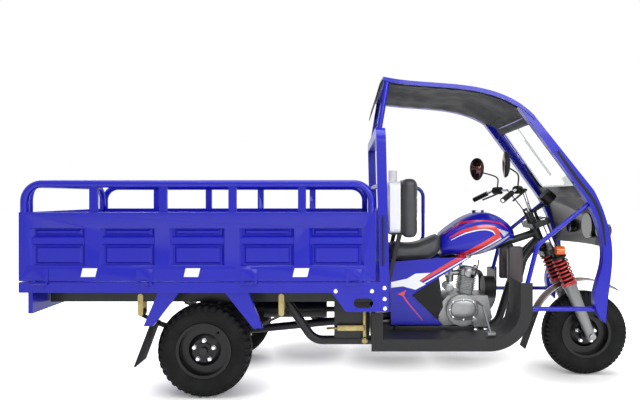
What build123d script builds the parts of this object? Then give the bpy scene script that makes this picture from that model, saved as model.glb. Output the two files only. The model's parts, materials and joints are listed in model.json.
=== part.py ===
from build123d import *
import os
from math import asin, cos, radians, sin, sqrt

# Cargo tricycle: a three-wheeled cargo motorcycle with a drop-side load bed and a roofed half-cab.
# Millimetres, +X forward, +Y left, +Z up. The origin is on the floor, at half the overall length.

# Fits
SEAT_GAP = 0.3  # between a soft or round piece and what carries it
RUNNING_FIT = 0.05  # radial play of a pin or shaft in its bore
MOVING_GAP = 6  # between a moving panel and its neighbours

# Overall
OVERALL_LENGTH = 3802
WHEEL_BASE = 2452
FRONT_AXLE_X = 1621  # the cab is placed to suit the front axle
REAR_TRACK = 920

# Tyres and rims
TYRE_DIAMETER = 560
REAR_TYRE_WIDTH = 135
FRONT_TYRE_WIDTH = 120
TREAD_CROWN = 12  # drop of the tread from its middle to its shoulder
TREAD_SHARE = 0.84  # tread width over tyre width
BEAD_DIAMETER = 305
BEAD_WIDTH = 96
RIM_WALL = 6
FLANGE_HEIGHT = 12
DISC_OFFSET = 14  # rim disc outside the tyre's middle
DISC_DISH = 20  # hub face of the disc inside its edge
HUB_DIAMETER = 92
BRAKE_DRUM_DIAMETER = 230
BRAKE_DRUM_WIDTH = 46
REAR_STUB_DIAMETER = 30
FRONT_AXLE_DIAMETER = 20

AXLE_Z = TYRE_DIAMETER / 2
FRONT_END_X = FRONT_AXLE_X + TYRE_DIAMETER / 2
REAR_AXLE_X = FRONT_AXLE_X - WHEEL_BASE

# Load bed
BED_HALF_WIDTH = 605
BED_TOP_Z = 701
BED_CHANNEL_HEIGHT = 61
BED_CHANNEL_WIDTH = 50
BED_FLOOR_STEP = 3  # floor below the edge channel's top
BED_FLOOR_SHEET = 8
BED_BEARER_COUNT = 5
BED_BEARER_WIDTH = 50
BED_FRONT_X = 262
TAILGATE_HANDLE_REACH = 27
BED_REAR_X = FRONT_END_X - OVERALL_LENGTH + TAILGATE_HANDLE_REACH
BED_BOTTOM_Z = BED_TOP_Z - BED_CHANNEL_HEIGHT

# Drop sides and tailgate
WALL_THICKNESS = 36
WALL_TOP_Z = 1104
RAIL_TOP_Z = 1290
RAIL_TUBE = 44
RAIL_CORNER = 103  # centre line radius of the rail's bends
SIDE_FRONT_X = 182
SIDE_BAYS = 5
POST_WIDTH = 46
HINGE_COUNT = 4
HINGE_WIDTH = 95
HINGE_BARREL = 16
HINGE_PIN = 8
HINGE_LEAF = 3
HINGE_LEAF_HEIGHT = 70
HINGE_KNUCKLE_GAP = 1.5
HINGE_DROP = 7  # hinge axis below the bed's top
HINGE_INSET = 125  # outer hinges from the wall's ends
HINGE_Z = BED_TOP_Z - HINGE_DROP
HINGE_FACE_GAP = 1
HINGE_STAND_OFF = HINGE_BARREL / 2 + HINGE_FACE_GAP
WALL_BOTTOM_Z = BED_TOP_Z + MOVING_GAP
TAILGATE_HALF_WIDTH = BED_HALF_WIDTH - RAIL_TUBE - MOVING_GAP
HANDLE_ROD = 12
HANDLE_INSET = 40
HANDLE_BOTTOM_Z = 830
HANDLE_TOP_Z = 1060

# Headboard
HOOP_POST_WIDTH = 60
HOOP_POST_DEPTH = 56
HOOP_TOP_Z = 1600
HOOP_LEAN = 22  # top of the hoop behind its foot
HOOP_CORNER = 90
HEADBOARD_SHEET = 30
HEADBOARD_TOP_Z = 1110
HOOP_BAR_TUBE = 34
HOOP_BAR_Z = 1262
HEADBOARD_INSET = 8
HEADBOARD_FOOT_X = BED_FRONT_X - HOOP_POST_DEPTH
HOOP_TOP_X = HEADBOARD_FOOT_X + HOOP_POST_DEPTH / 2 - HOOP_LEAN
HOOP_SLOPE = HOOP_LEAN / (HOOP_TOP_Z - BED_TOP_Z)
HOOP_BAR_X = HEADBOARD_FOOT_X + HOOP_POST_DEPTH / 2 - HOOP_SLOPE * (HOOP_BAR_Z - BED_TOP_Z)
LATCH_X = 226
LATCH_BOTTOM_Z = 800
LATCH_TOP_Z = 1080
LATCH_REACH = 14
GUSSET_REAR_X = -70
GUSSET_FOOT_X = 10
GUSSET_BOTTOM_Z = 530
GUSSET_SHEET = 10
GUSSET_INSET = 2
GUSSET_SLOT_X = 112
GUSSET_SLOT_Z = 580
GUSSET_SLOT_LENGTH = 112
GUSSET_SLOT_HEIGHT = 56

# Chassis rails and cradle
RAIL_Y = 350
RAIL_WIDTH = 60
RAIL_HEIGHT = 90
RAIL_REAR_INSET = 74
RAIL_REAR_X = BED_REAR_X + RAIL_REAR_INSET
RAIL_FRONT_X = 190
CROSS_MEMBER_WIDTH = 50
CROSS_MEMBER_HEIGHT = 60
CROSS_END_INSET = 100  # first and last cross member from the rails' ends
CROSS_BEHIND_AXLE = 349
CROSS_AHEAD_OF_AXLE = 351
CROSS_MEMBERS_X = (
    RAIL_REAR_X + CROSS_END_INSET,
    REAR_AXLE_X - CROSS_BEHIND_AXLE,
    REAR_AXLE_X + CROSS_AHEAD_OF_AXLE,
    RAIL_FRONT_X - CROSS_END_INSET,
)
CRADLE_TUBE = 56
CRADLE_Y = 280
CRADLE_AHEAD_OF_AXLE = 271
CRADLE_REAR_X = REAR_AXLE_X + CRADLE_AHEAD_OF_AXLE
CRADLE_DROP_X = -400
CRADLE_FLAT_X = -190
CRADLE_TURN_X = 870
CRADLE_FRONT_X = 1060
CRADLE_NECK_Y = 110
DOWN_TUBE_X = 1195
DOWN_TUBE_Z = 780
DOWN_TUBE_HEIGHT = 700  # along the steering axis, from the axle
SPINE_HEIGHT = 745
SPINE_BEND_X = 980
SPINE_BEND_Z = 850
SPINE_FLAT_X = 600
CRADLE_Z = 292
CRADLE_BEND = 110
SPINE_TUBE = 50
SUBFRAME_TUBE = 28
SUBFRAME_X = 335
SUBFRAME_Y = 145
OUTRIGGER_WIDTH = 40
OUTRIGGER_THICKNESS = 12
OUTRIGGERS_X = (200, 335, 665, 900)
ENGINE_PADS_X = (665, 900)
HEAD_TUBE = 62

# Footboards
FOOT_OUTER_Y = 430
FOOT_INNER_Y = 172
FOOT_Z = 330
FOOT_SHEET = 6
FOOT_SKIRT = 73
FOOT_REAR_X = 166
FOOT_FRONT_X = 1143
FOOT_RISER_TOP_Z = 672
FOOT_RADIUS = 190
FOOT_UPRIGHT_WIDTH = 70
FOOT_UPRIGHT_TOP_Z = 490

# Engine
ENGINE_REAR_X = 622
ENGINE_FRONT_X = 975
ENGINE_BOTTOM_Z = 340
CRANKCASE_TOP_Z = 545
CRANKCASE_HALF_WIDTH = 118
COVER_X = 774
COVER_Z = 453
COVER_DIAMETER = 205
COVER_DEPTH = 34
CYLINDER_X = 815
CYLINDER_WIDTH = 118
CYLINDER_TOP_Z = 762
CYLINDER_TILT = 8
FAN_X = 940
FAN_Z = 585
FAN_DEPTH = 70
FAN_DIAMETER = 150
MUFFLER_LENGTH = 440
EXHAUST_BEND = 50
PEDAL_ROD = 16
PEDAL_PAD = 50
PEDAL_POINTS = [(880, -CRANKCASE_HALF_WIDTH, 500), (880, -260, 500), (905, -360, 352)]
DRIVE_Z = 420
DRIVE_JOINT_LENGTH = 60
DRIVE_JOINT_DIAMETER = 84

# Seat and what is behind it
SEAT_REAR_X = 298
SEAT_FRONT_X = 640
SEAT_BOTTOM_Z = 772
SEAT_HALF_WIDTH = 140
SEAT_REAR_TOP_Z = 895
SEAT_DIP_X = 440
SEAT_DIP_Z = 882
SEAT_NOSE_Z = 955
SEAT_FRONT_BOTTOM_Z = 825
SEAT_CHIN_X = 560
BACKREST_X = 374
BACKREST_DEPTH = 103
BACKREST_HALF_WIDTH = 190
BACKREST_BOTTOM_Z = 918
BACKREST_TOP_Z = 1320
BACKREST_CORNER = 50
WATER_TANK_X = 296
WATER_TANK_DEPTH = 68
WATER_TANK_HALF_WIDTH = 200
WATER_TANK_BOTTOM_Z = 955
WATER_TANK_TOP_Z = 1291
WATER_NECK_DIAMETER = 58
WATER_NECK_TOP_Z = 1370
WATER_TANK_CORNER = 40
BRACKET_SHEET = 6
BRACKET_Y = 190
BRACKET_PLATE_Y = 120
BRACKET_TOP_Z = 1240
STRUT_FOOT_X = 300
STRUT_FOOT_Z = 645
STRUT_WIDTH = 30
GUARD_TUBE = 26
GUARD_Y = 300
GUARD_FRONT_X = 575
GUARD_LOW_Z = 850
GUARD_BEND = 70

# Side panels
SIDE_PANEL_SHEET = 10
FILTER_COVER_PROUD = 6
PANEL_NOTCH = (442, 556)
PANEL_NOSE = (824, 800)
PANEL_TOE = (640, 364)
SIDE_PANEL_OUTLINE = [(304, 364), PANEL_TOE, PANEL_NOTCH, PANEL_NOSE, (607, 795), (298, 770)]

# Fuel tank: place, bottom, top, width and corner radius of each section
TANK_SECTIONS = [
    (645, 800, 949, 220, 60),
    (780, 803, 1045, 320, 90),
    (913, 815, 1090, 350, 110),
    (1030, 870, 1060, 330, 85),
    (1123, 912, 972, 200, 28),
]
TUNNEL_GAP = 1.7  # upright gap over the sloping spine
TANK_CAP_X = 905
TANK_CAP_Z = 1070
CAP_DIAMETER = 84
CAP_HEIGHT = 34

# Roof and cab front
ROOF_HALF_WIDTH = 460
ROOF_SHELL = 24
ROOF_CROWN = 34
ROOF_POST_TUBE = 34
ROOF_POST_Y = 440
ROOF_POST_TOP_X = 262
ROOF_STATIONS = [(236, 1915), (576, 1877), (966, 1803), (1146, 1680)]
PILLAR_OUTER_Y = 455
PILLAR_WIDTH = 55
PILLAR_FRONT_LINE = [(1146, 1680), (1502, 1234)]
PILLAR_FRONT_CURVE = [(1502, 1234), (1571, 1077), (1612, 885), (1598, 661), (1574, 432)]
PILLAR_BACK_CURVE = [(1574, 432), (1507, 582), (1556, 799), (1529, 1017), (1420, 1235)]
PILLAR_BACK_LINE = [(1420, 1235), (1050, 1735)]
SCREEN_TOP_X = 1122
SCREEN_TOP_Z = 1690
SCREEN_BOTTOM_X = 1475
SCREEN_BOTTOM_Z = 1205
SCREEN_FRAME = 24
GLASS_THICKNESS = 5
GLASS_TOP_HALF = 318
GLASS_BOTTOM_HALF = 352
GLASS_MARGIN = 52
FASCIA_WALL = 18
FASCIA_STATIONS = [(870, 1590, 1700), (1040, 1568, 1690), (1200, 1488, 1515)]
WIPER_Y = 0
WIPER_BOSS = 28
WIPER_WIDTH = 12
WIPER_ARM = 260
WIPER_BLADE = 300
BRACE_TUBE = 28
BRACE_BEND = 60
UPPER_BRACE = [(1490, 1154), (1175, 898), (1108, 640)]
LOWER_BRACE_X = 1570
LOWER_BRACE_Z = 512
SMALL_LAMP_DIAMETER = 80
SMALL_LAMP_Y = 250
SMALL_LAMP_Z = 980
MAIN_LAMP_DIAMETER = 170
LAMP_DEPTH = 70
MAIN_LAMP_X = 1712
MAIN_LAMP_Z = 1000
SMALL_LAMP_X = 1684

# Steering
RAKE = 22  # steering axis back from upright
FORK_OFFSET = 45  # fork legs ahead of the steering axis
FORK_LEG_Y = 115
FRONT_HUB_HALF = 72
STEM_DIAMETER = 30
STANCHION_DIAMETER = 38
LEG_TOP = 367  # heights along the steering axis, from the axle
SPRING_TOP = 551
LOWER_YOKE = 595
UPPER_YOKE = 790
YOKE_THICKNESS = 34
YOKE_HALF_WIDTH = 150
HEAD_PLAY = 2
LEG_TOP_DIAMETER = 84
LEG_FOOT_DIAMETER = 60
SPRING_DIAMETER = 100
SPRING_WIRE = 11
SPRING_SEAT = 12
SPRING_COVER = 62
STANCHION_DEPTH = 70
STANCHION_TOP = UPPER_YOKE + YOKE_THICKNESS + 4
LEG_FOOT = -22
YOKE_REAR = 38
YOKE_MARGIN = 22
YOKE_CORNER = 36
AXLE_NUT = 12
AXLE_NUT_DIAMETER = 40
BAR_TUBE = 22
BAR_HEIGHT = 898
BAR_BEND = 35
BAR_HALF_CLAMP = 55
RISER_Y = 45
RISER_DIAMETER = 34
GRIP_DIAMETER = 34
GRIP_LENGTH = 125
CLUSTER_DIAMETER = 52
CLUSTER_LENGTH = 62
LEVER_DIAMETER = 12
LEVER_AHEAD = 55
LEVER_FLARE = 10
CLUSTER_INSET = 10
MIRROR_X = 990
MIRROR_Y = 318
MIRROR_Z = 1395
MIRROR_WIDTH = 115
MIRROR_HEIGHT = 165
MIRROR_DEPTH = 34
MIRROR_STALK = 10
MIRROR_RISE = 70
MIRROR_BEND = 30
GAUGE_DIAMETER = 96
GAUGE_DEPTH = 62
GAUGE_AHEAD = 175
GAUGE_HEIGHT = 905
GAUGE_ARM = 20
SIGNAL_DIAMETER = 56
SIGNAL_DEPTH = 52
SIGNAL_Y = 192
SIGNAL_AHEAD = 45
SIGNAL_STALK = 14
FENDER_RADIUS = 360
FENDER_SHEET = 5
FENDER_HALF_WIDTH = 60
FENDER_BOSS = 24
FENDER_FRONT_ANGLE = 53  # from level, at the axle
FENDER_REAR_ANGLE = 154
FRONT_FLAP_BOTTOM_Z = 178
FRONT_FLAP_SHEET = 8
FRONT_FLAP_FOOT_X = 1205
FRONT_FLAP_INSET = 4

# Rear axle and springs
AXLE_TUBE = 76
DIFFERENTIAL_DIAMETER = 230
DIFFERENTIAL_WIDTH = 250
PINION_REACH = 141  # pinion flange ahead of the axle
PINION_X = REAR_AXLE_X + PINION_REACH
PINION_Z = 290
PINION_DIAMETER = 90
BRAKE_PLATE = 8
REAR_HUB_HALF = 45
REAR_NUT_DIAMETER = 46
SPRING_PAD = 100
LEAF_WIDTH = 50
LEAF_THICKNESS = 9
LEAF_COUNT = 4
LEAF_EYE_DIAMETER = 40
LEAF_PIN = 18
LEAF_FRONT_REACH = 447  # spring eyes from the axle
LEAF_REAR_REACH = 416
LEAF_FRONT_X = REAR_AXLE_X + LEAF_FRONT_REACH
LEAF_REAR_X = REAR_AXLE_X - LEAF_REAR_REACH
LEAF_EYE_Z = 478
LEAF_MIDDLE_Z = 358
LEAF_STEP = 0.2  # each leaf shorter than the one above, as a share of the longest
SHACKLE_LENGTH = 104
SHACKLE_PLATE = 6
SHACKLE_WIDTH = 34
DRIVE_SHAFT_DIAMETER = 52
MUFFLER_DIAMETER = 112
EXHAUST_TUBE = 38
EXHAUST_Y = 140
EXHAUST_POINTS = [
    (870, 50, 690),
    (960, EXHAUST_Y, 660),
    (960, EXHAUST_Y, 288),
    (100, EXHAUST_Y, 288),
    (-20, 175, 400),
    (-120, 175, 400),
]

# Fender stays, mud flaps and tail board
STAY_INSET = 15  # stays in from the bed's side
STAY_OUTER_Y = BED_HALF_WIDTH - STAY_INSET
STAY_WIDTH = 40
MUD_FLAP_SHEET = 10
MUD_FLAP_BOTTOM_Z = 208
MUD_FLAP_REACH = 385  # flap's foot behind the axle
MUD_FLAP_WIDTH = 190
MUD_FLAP_FOOT_X = REAR_AXLE_X - MUD_FLAP_REACH
MUD_FLAP_INNER_Y = STAY_OUTER_Y - MUD_FLAP_WIDTH
REAR_STAY_CORNERS = [(-245, BED_BOTTOM_Z), (-124, BED_BOTTOM_Z), (-276, 444), (-329, 444)]  # X from the axle
FRONT_STAY_CORNERS = [(141, BED_BOTTOM_Z), (278, BED_BOTTOM_Z), (359, 432), (306, 432)]
REAR_STAY = [(REAR_AXLE_X + x, z) for x, z in REAR_STAY_CORNERS]
FRONT_STAY = [(REAR_AXLE_X + x, z) for x, z in FRONT_STAY_CORNERS]
TAIL_BOARD_INSET = 32
TAIL_BOARD_REAR_X = BED_REAR_X + TAIL_BOARD_INSET
TAIL_BOARD_SHEET = 26
TAIL_BOARD_BOTTOM_Z = 512
TAIL_BOARD_SIDE_INSET = 45
TAIL_BOARD_HALF_WIDTH = BED_HALF_WIDTH - TAIL_BOARD_SIDE_INSET
TAIL_LAMP_WIDTH = 190
TAIL_LAMP_HEIGHT = 84
TAIL_LAMP_DEPTH = 24
TAIL_LAMP_Y = 420

# Steering axis frame: local x square to the axis and forward, local z up along the axis, from the axle
AXIS_BACK = sin(radians(RAKE))
AXIS_UP = cos(radians(RAKE))
STEERING = Plane(
    origin=(FRONT_AXLE_X - FORK_OFFSET * AXIS_UP, 0, AXLE_Z - FORK_OFFSET * AXIS_BACK),
    x_dir=(AXIS_UP, 0, AXIS_BACK),
    z_dir=(-AXIS_BACK, 0, AXIS_UP),
)
HEAD_BOTTOM = LOWER_YOKE + YOKE_THICKNESS + HEAD_PLAY
HEAD_TOP = UPPER_YOKE - HEAD_PLAY

# Windscreen frame: local x to the left, local y up along the screen, local z outwards
SCREEN_RISE = Vector(SCREEN_TOP_X - SCREEN_BOTTOM_X, 0, SCREEN_TOP_Z - SCREEN_BOTTOM_Z)
SCREEN_LENGTH = SCREEN_RISE.length
SCREEN = Plane(
    origin=((SCREEN_TOP_X + SCREEN_BOTTOM_X) / 2, 0, (SCREEN_TOP_Z + SCREEN_BOTTOM_Z) / 2),
    x_dir=(0, 1, 0),
    z_dir=(SCREEN_RISE.Z, 0, -SCREEN_RISE.X),
)

# Spring leaves: arcs about one centre above the spring
LEAF_MIDDLE_X = (LEAF_FRONT_X + LEAF_REAR_X) / 2
LEAF_HALF_CHORD = (LEAF_FRONT_X - LEAF_REAR_X) / 2
LEAF_SAG = LEAF_EYE_Z - (LEAF_EYE_DIAMETER - LEAF_THICKNESS) / 2 - LEAF_MIDDLE_Z
LEAF_RADIUS = (LEAF_HALF_CHORD**2 + LEAF_SAG**2) / (2 * LEAF_SAG)
LEAF_CENTRE_Z = LEAF_MIDDLE_Z + LEAF_RADIUS
LEAF_HALF_ANGLE = asin(LEAF_HALF_CHORD / LEAF_RADIUS)
LEAF_BOTTOM_Z = LEAF_MIDDLE_Z - (LEAF_COUNT - 0.5) * LEAF_THICKNESS


# Shape helpers
def block(x, y, z):
    """A box from its low and high corner along each axis."""
    middle = Pos((x[0] + x[1]) / 2, (y[0] + y[1]) / 2, (z[0] + z[1]) / 2)
    return middle * Box(x[1] - x[0], y[1] - y[0], z[1] - z[0])


def slab(outline, y_low, y_high):
    """A side-view outline of (x, z) points, extruded across."""
    wire = Polyline(*[(x, y_low, z) for x, z in outline], close=True)
    return extrude(make_face(wire), amount=y_high - y_low, dir=(0, 1, 0))


def rod(start, end, diameter):
    """A round bar between two points."""
    axis = Vector(*end) - Vector(*start)
    return extrude(Plane(origin=start, z_dir=axis) * Circle(diameter / 2), amount=axis.length)


def bent_tube(points, diameter, bend):
    """A round tube along straight runs joined by bends of one radius."""
    path = FilletPolyline(*points, radius=bend)
    return sweep(Plane(origin=path @ 0, z_dir=path % 0) * Circle(diameter / 2), path=path)


def turned(outline):
    """A solid of revolution about Y, from (radius, y) points."""
    return revolve(make_face(Polyline(*outline, close=True)), axis=Axis.Y)


def both_sides(shape):
    """A left-hand piece with its mirror image on the right."""
    return shape + mirror(shape, about=Plane.XZ)


def on_steering(x, y, z):
    """A point given along the steering axis frame, in the vehicle's frame."""
    return tuple(STEERING.from_local_coords(Vector(x, y, z)))


def between(start, end, share):
    """The point at a share of the way from one (x, z) point to another."""
    return (start[0] + (end[0] - start[0]) * share, start[1] + (end[1] - start[1]) * share)


def hinge_places(low, high):
    """Even places of a wall's hinges between its ends."""
    step = (high - low - 2 * HINGE_INSET) / (HINGE_COUNT - 1)
    return [low + HINGE_INSET + step * index for index in range(HINGE_COUNT)]


def write(name, shape):
    """Write one sub-part, with the origin at the middle of the overall length."""
    export_step(Pos(OVERALL_LENGTH / 2 - FRONT_END_X, 0, 0) * shape, f"parts/{name}.step")


# Places that follow from the above
TAILGATE_HINGES_Y = hinge_places(-TAILGATE_HALF_WIDTH, TAILGATE_HALF_WIDTH)
SPINE_REAR_Z = SEAT_BOTTOM_Z - SEAT_GAP - SPINE_TUBE / 2
SPINE_POINTS = [
    on_steering(0, 0, SPINE_HEIGHT),
    (SPINE_BEND_X, 0, SPINE_BEND_Z),
    (SPINE_FLAT_X, 0, SPINE_REAR_Z),
    (SUBFRAME_X, 0, SPINE_REAR_Z),
]
BAR_CENTRE = on_steering(0, 0, BAR_HEIGHT)
BAR_CLAMP_END = (BAR_CENTRE[0], BAR_HALF_CLAMP, BAR_CENTRE[2])
BAR_POINTS = [(968, 400, 1170), (1080, 282, 1237), (1160, 175, 1238), BAR_CLAMP_END]
FILTER_TOP = between(PANEL_NOTCH, PANEL_NOSE, 0.46)
FILTER_TOE = between(PANEL_NOTCH, PANEL_TOE, 0.8)
FILTER_OUTLINE = [PANEL_NOTCH, FILTER_TOP, (642, 480), FILTER_TOE]


# Wheels
def tyre(width):
    """A tyre on its bead seat, out to the tips of its tread."""
    inner = BEAD_DIAMETER / 2 + SEAT_GAP
    outer = TYRE_DIAMETER / 2
    shoulder = outer - TREAD_CROWN
    tread = width * TREAD_SHARE / 2
    bead = BEAD_WIDTH / 2
    lip = inner + FLANGE_HEIGHT
    middle = (lip + shoulder) / 2
    outline = Polyline((lip, -bead), (inner, -bead), (inner, bead), (lip, bead))
    outline += ThreePointArc((lip, bead), (middle, width / 2), (shoulder, tread))
    outline += ThreePointArc((shoulder, tread), (outer, 0), (shoulder, -tread))
    outline += ThreePointArc((shoulder, -tread), (middle, -width / 2), (lip, -bead))
    return revolve(make_face(outline), axis=Axis.Y)


def rim(axle_diameter, hub_half_length):
    """A pressed steel rim with its disc, hub and brake drum. +Y is the outside."""
    seat = BEAD_DIAMETER / 2
    lip = BEAD_WIDTH / 2 + SEAT_GAP
    edge = lip + RIM_WALL
    barrel = turned(
        [
            (seat - RIM_WALL, -edge),
            (seat + FLANGE_HEIGHT, -edge),
            (seat + FLANGE_HEIGHT, -lip),
            (seat, -lip),
            (seat, lip),
            (seat + FLANGE_HEIGHT, lip),
            (seat + FLANGE_HEIGHT, edge),
            (seat - RIM_WALL, edge),
        ]
    )
    hub = HUB_DIAMETER / 2
    hub_face = DISC_OFFSET + DISC_DISH
    rise = seat - RIM_WALL - hub
    disc = turned(
        [
            (hub / 2, hub_face),
            (hub + rise / 4, hub_face),
            (hub + rise / 2, DISC_OFFSET),
            (seat - RIM_WALL / 2, DISC_OFFSET),
            (seat - RIM_WALL / 2, DISC_OFFSET - RIM_WALL),
            (hub + rise / 2 - RIM_WALL, DISC_OFFSET - RIM_WALL),
            (hub + rise / 4 - RIM_WALL, hub_face - RIM_WALL),
            (hub / 2, hub_face - RIM_WALL),
        ]
    )
    barrel_hub = rod((0, -hub_half_length, 0), (0, hub_half_length, 0), HUB_DIAMETER)
    drum_start = -hub_half_length
    drum = rod((0, drum_start, 0), (0, drum_start + BRAKE_DRUM_WIDTH, 0), BRAKE_DRUM_DIAMETER)
    bore = axle_diameter + 2 * RUNNING_FIT
    reach = hub_half_length + BEAD_WIDTH
    return barrel + disc + barrel_hub + drum - rod((0, -reach, 0), (0, reach, 0), bore)


def place_wheels():
    """Write the three tyres and the three rims."""
    front = Pos(FRONT_AXLE_X, 0, AXLE_Z)
    left = Pos(REAR_AXLE_X, REAR_TRACK / 2, AXLE_Z)
    rear_tyre = left * tyre(REAR_TYRE_WIDTH)
    rear_rim = left * rim(REAR_STUB_DIAMETER, REAR_HUB_HALF)
    write("front_tyre", front * tyre(FRONT_TYRE_WIDTH))
    write("front_rim", front * mirror(rim(FRONT_AXLE_DIAMETER, FRONT_HUB_HALF), about=Plane.XZ))
    write("rear_tyre_left", rear_tyre)
    write("rear_rim_left", rear_rim)
    write("rear_tyre_right", mirror(rear_tyre, about=Plane.XZ))
    write("rear_rim_right", mirror(rear_rim, about=Plane.XZ))


# Load bed
def bed_floor():
    """The bed's edge channel, floor sheet and bearers, with the fixed knuckles of its hinges."""
    outer = block((BED_REAR_X, BED_FRONT_X), (-BED_HALF_WIDTH, BED_HALF_WIDTH), (BED_BOTTOM_Z, BED_TOP_Z))
    inner_half = BED_HALF_WIDTH - BED_CHANNEL_WIDTH
    inner_x = (BED_REAR_X + BED_CHANNEL_WIDTH, HEADBOARD_FOOT_X)
    floor_z = BED_TOP_Z - BED_FLOOR_STEP
    well = block(inner_x, (-inner_half, inner_half), (BED_BOTTOM_Z, BED_TOP_Z))
    sheet = block(inner_x, (-inner_half, inner_half), (floor_z - BED_FLOOR_SHEET, floor_z))
    bed = outer - well + sheet
    pitch = (inner_x[1] - inner_x[0]) / (BED_BEARER_COUNT + 1)
    for index in range(BED_BEARER_COUNT):
        x = inner_x[0] + pitch * (index + 1)
        span = (x - BED_BEARER_WIDTH / 2, x + BED_BEARER_WIDTH / 2)
        bed += block(span, (-inner_half, inner_half), (BED_BOTTOM_Z, floor_z - BED_FLOOR_SHEET))
    for knuckle in fixed_knuckles():
        bed += knuckle
    return bed


def fixed_knuckle():
    """A hinge's middle knuckle and leaf, along X at the origin, with the bed behind it at -Y."""
    length = HINGE_WIDTH / 2
    face = -HINGE_STAND_OFF
    barrel = rod((-length / 2, 0, 0), (length / 2, 0, 0), HINGE_BARREL)
    leaf_z = (HINGE_DROP - BED_CHANNEL_HEIGHT * 2 / 3, HINGE_DROP)
    leaf = block((-length / 2, length / 2), (face - HINGE_LEAF, face + HINGE_LEAF), leaf_z)
    web = block((-length / 2, length / 2), (face, 0), (-HINGE_BARREL / 4, HINGE_BARREL / 4))
    bore = rod((-length, 0, 0), (length, 0, 0), HINGE_PIN + 2 * RUNNING_FIT)
    return barrel + leaf + web - bore


def moving_knuckles():
    """A hinge's two outer knuckles, pin and wall leaf, along X at the origin."""
    half = HINGE_WIDTH / 2
    inner = HINGE_WIDTH / 4 + HINGE_KNUCKLE_GAP
    face = -HINGE_STAND_OFF
    leaf_y = face + HINGE_FACE_GAP + HINGE_LEAF
    hinge = rod((-half, 0, 0), (half, 0, 0), HINGE_PIN)
    leaf_bottom = WALL_BOTTOM_Z - HINGE_Z
    leaf_top = leaf_bottom + HINGE_LEAF_HEIGHT
    for low, high in ((-half, -inner), (inner, half)):
        hinge += rod((low, 0, 0), (high, 0, 0), HINGE_BARREL)
        hinge += block((low, high), (leaf_y - HINGE_LEAF, leaf_y), (0, leaf_top))
    return hinge + block((-half, half), (face, leaf_y), (leaf_bottom + HINGE_DROP, leaf_top))


def fixed_knuckles():
    """Every fixed knuckle on the bed's two sides and its rear."""
    y = BED_HALF_WIDTH + HINGE_STAND_OFF
    knuckles = []
    for x in hinge_places(BED_REAR_X, SIDE_FRONT_X):
        left = Pos(x, y, HINGE_Z) * fixed_knuckle()
        knuckles += [left, mirror(left, about=Plane.XZ)]
    for place in TAILGATE_HINGES_Y:
        knuckles.append(Pos(BED_REAR_X - HINGE_STAND_OFF, place, HINGE_Z) * (Rot(0, 0, 90) * fixed_knuckle()))
    return knuckles


# Drop sides and tailgate
def bays(low, high, count):
    """The middles of a wall's posts, from end to end."""
    step = (high - low - POST_WIDTH) / count
    return [low + POST_WIDTH / 2 + step * index for index in range(count + 1)]


def wall_rail(low, high, y):
    """The top rail of a wall: a tube hoop along X standing on the wall's top."""
    centre = RAIL_TOP_Z - RAIL_TUBE / 2
    left = low + RAIL_TUBE / 2
    right = high - RAIL_TUBE / 2
    foot = WALL_TOP_Z - RAIL_TUBE / 2
    points = [(left, y, foot), (left, y, centre), (right, y, centre), (right, y, foot)]
    return bent_tube(points, RAIL_TUBE, min(RAIL_CORNER, centre - WALL_TOP_Z))


def side_left():
    """The left drop side, with its rail, posts and hinges."""
    inner = BED_HALF_WIDTH - WALL_THICKNESS
    middle = BED_HALF_WIDTH - RAIL_TUBE / 2
    wall = block((BED_REAR_X, SIDE_FRONT_X), (inner, BED_HALF_WIDTH), (WALL_BOTTOM_Z, WALL_TOP_Z))
    wall += wall_rail(BED_REAR_X, SIDE_FRONT_X, middle)
    rail_centre = RAIL_TOP_Z - RAIL_TUBE / 2
    for x in bays(BED_REAR_X, SIDE_FRONT_X, SIDE_BAYS)[1:-1]:
        post_y = (middle - RAIL_TUBE / 4, middle + RAIL_TUBE / 4)
        wall += block((x - POST_WIDTH / 2, x + POST_WIDTH / 2), post_y, (WALL_TOP_Z, rail_centre))
    for x in hinge_places(BED_REAR_X, SIDE_FRONT_X):
        wall += Pos(x, BED_HALF_WIDTH + HINGE_STAND_OFF, HINGE_Z) * moving_knuckles()
    return wall


def tailgate():
    """The tailgate between the drop sides, with its rail, hinges and two loop handles."""
    half = TAILGATE_HALF_WIDTH
    gate = block((BED_REAR_X, BED_REAR_X + WALL_THICKNESS), (-half, half), (WALL_BOTTOM_Z, WALL_TOP_Z))
    rail = wall_rail(-half, half, 0)
    gate += Pos(BED_REAR_X + RAIL_TUBE / 2, 0, 0) * (Rot(0, 0, 90) * rail)
    for place in TAILGATE_HINGES_Y:
        gate += Pos(BED_REAR_X - HINGE_STAND_OFF, place, HINGE_Z) * (Rot(0, 0, 90) * moving_knuckles())
    for sign in (-1, 1):
        y = sign * (half - HANDLE_INSET)
        reach = BED_REAR_X - TAILGATE_HANDLE_REACH + HANDLE_ROD / 2
        points = [
            (BED_REAR_X + WALL_THICKNESS / 2, y, HANDLE_BOTTOM_Z),
            (reach, y, HANDLE_BOTTOM_Z),
            (reach, y, HANDLE_TOP_Z),
            (BED_REAR_X + WALL_THICKNESS / 2, y, HANDLE_TOP_Z),
        ]
        gate += bent_tube(points, HANDLE_ROD, HANDLE_ROD)
    return gate


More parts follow.
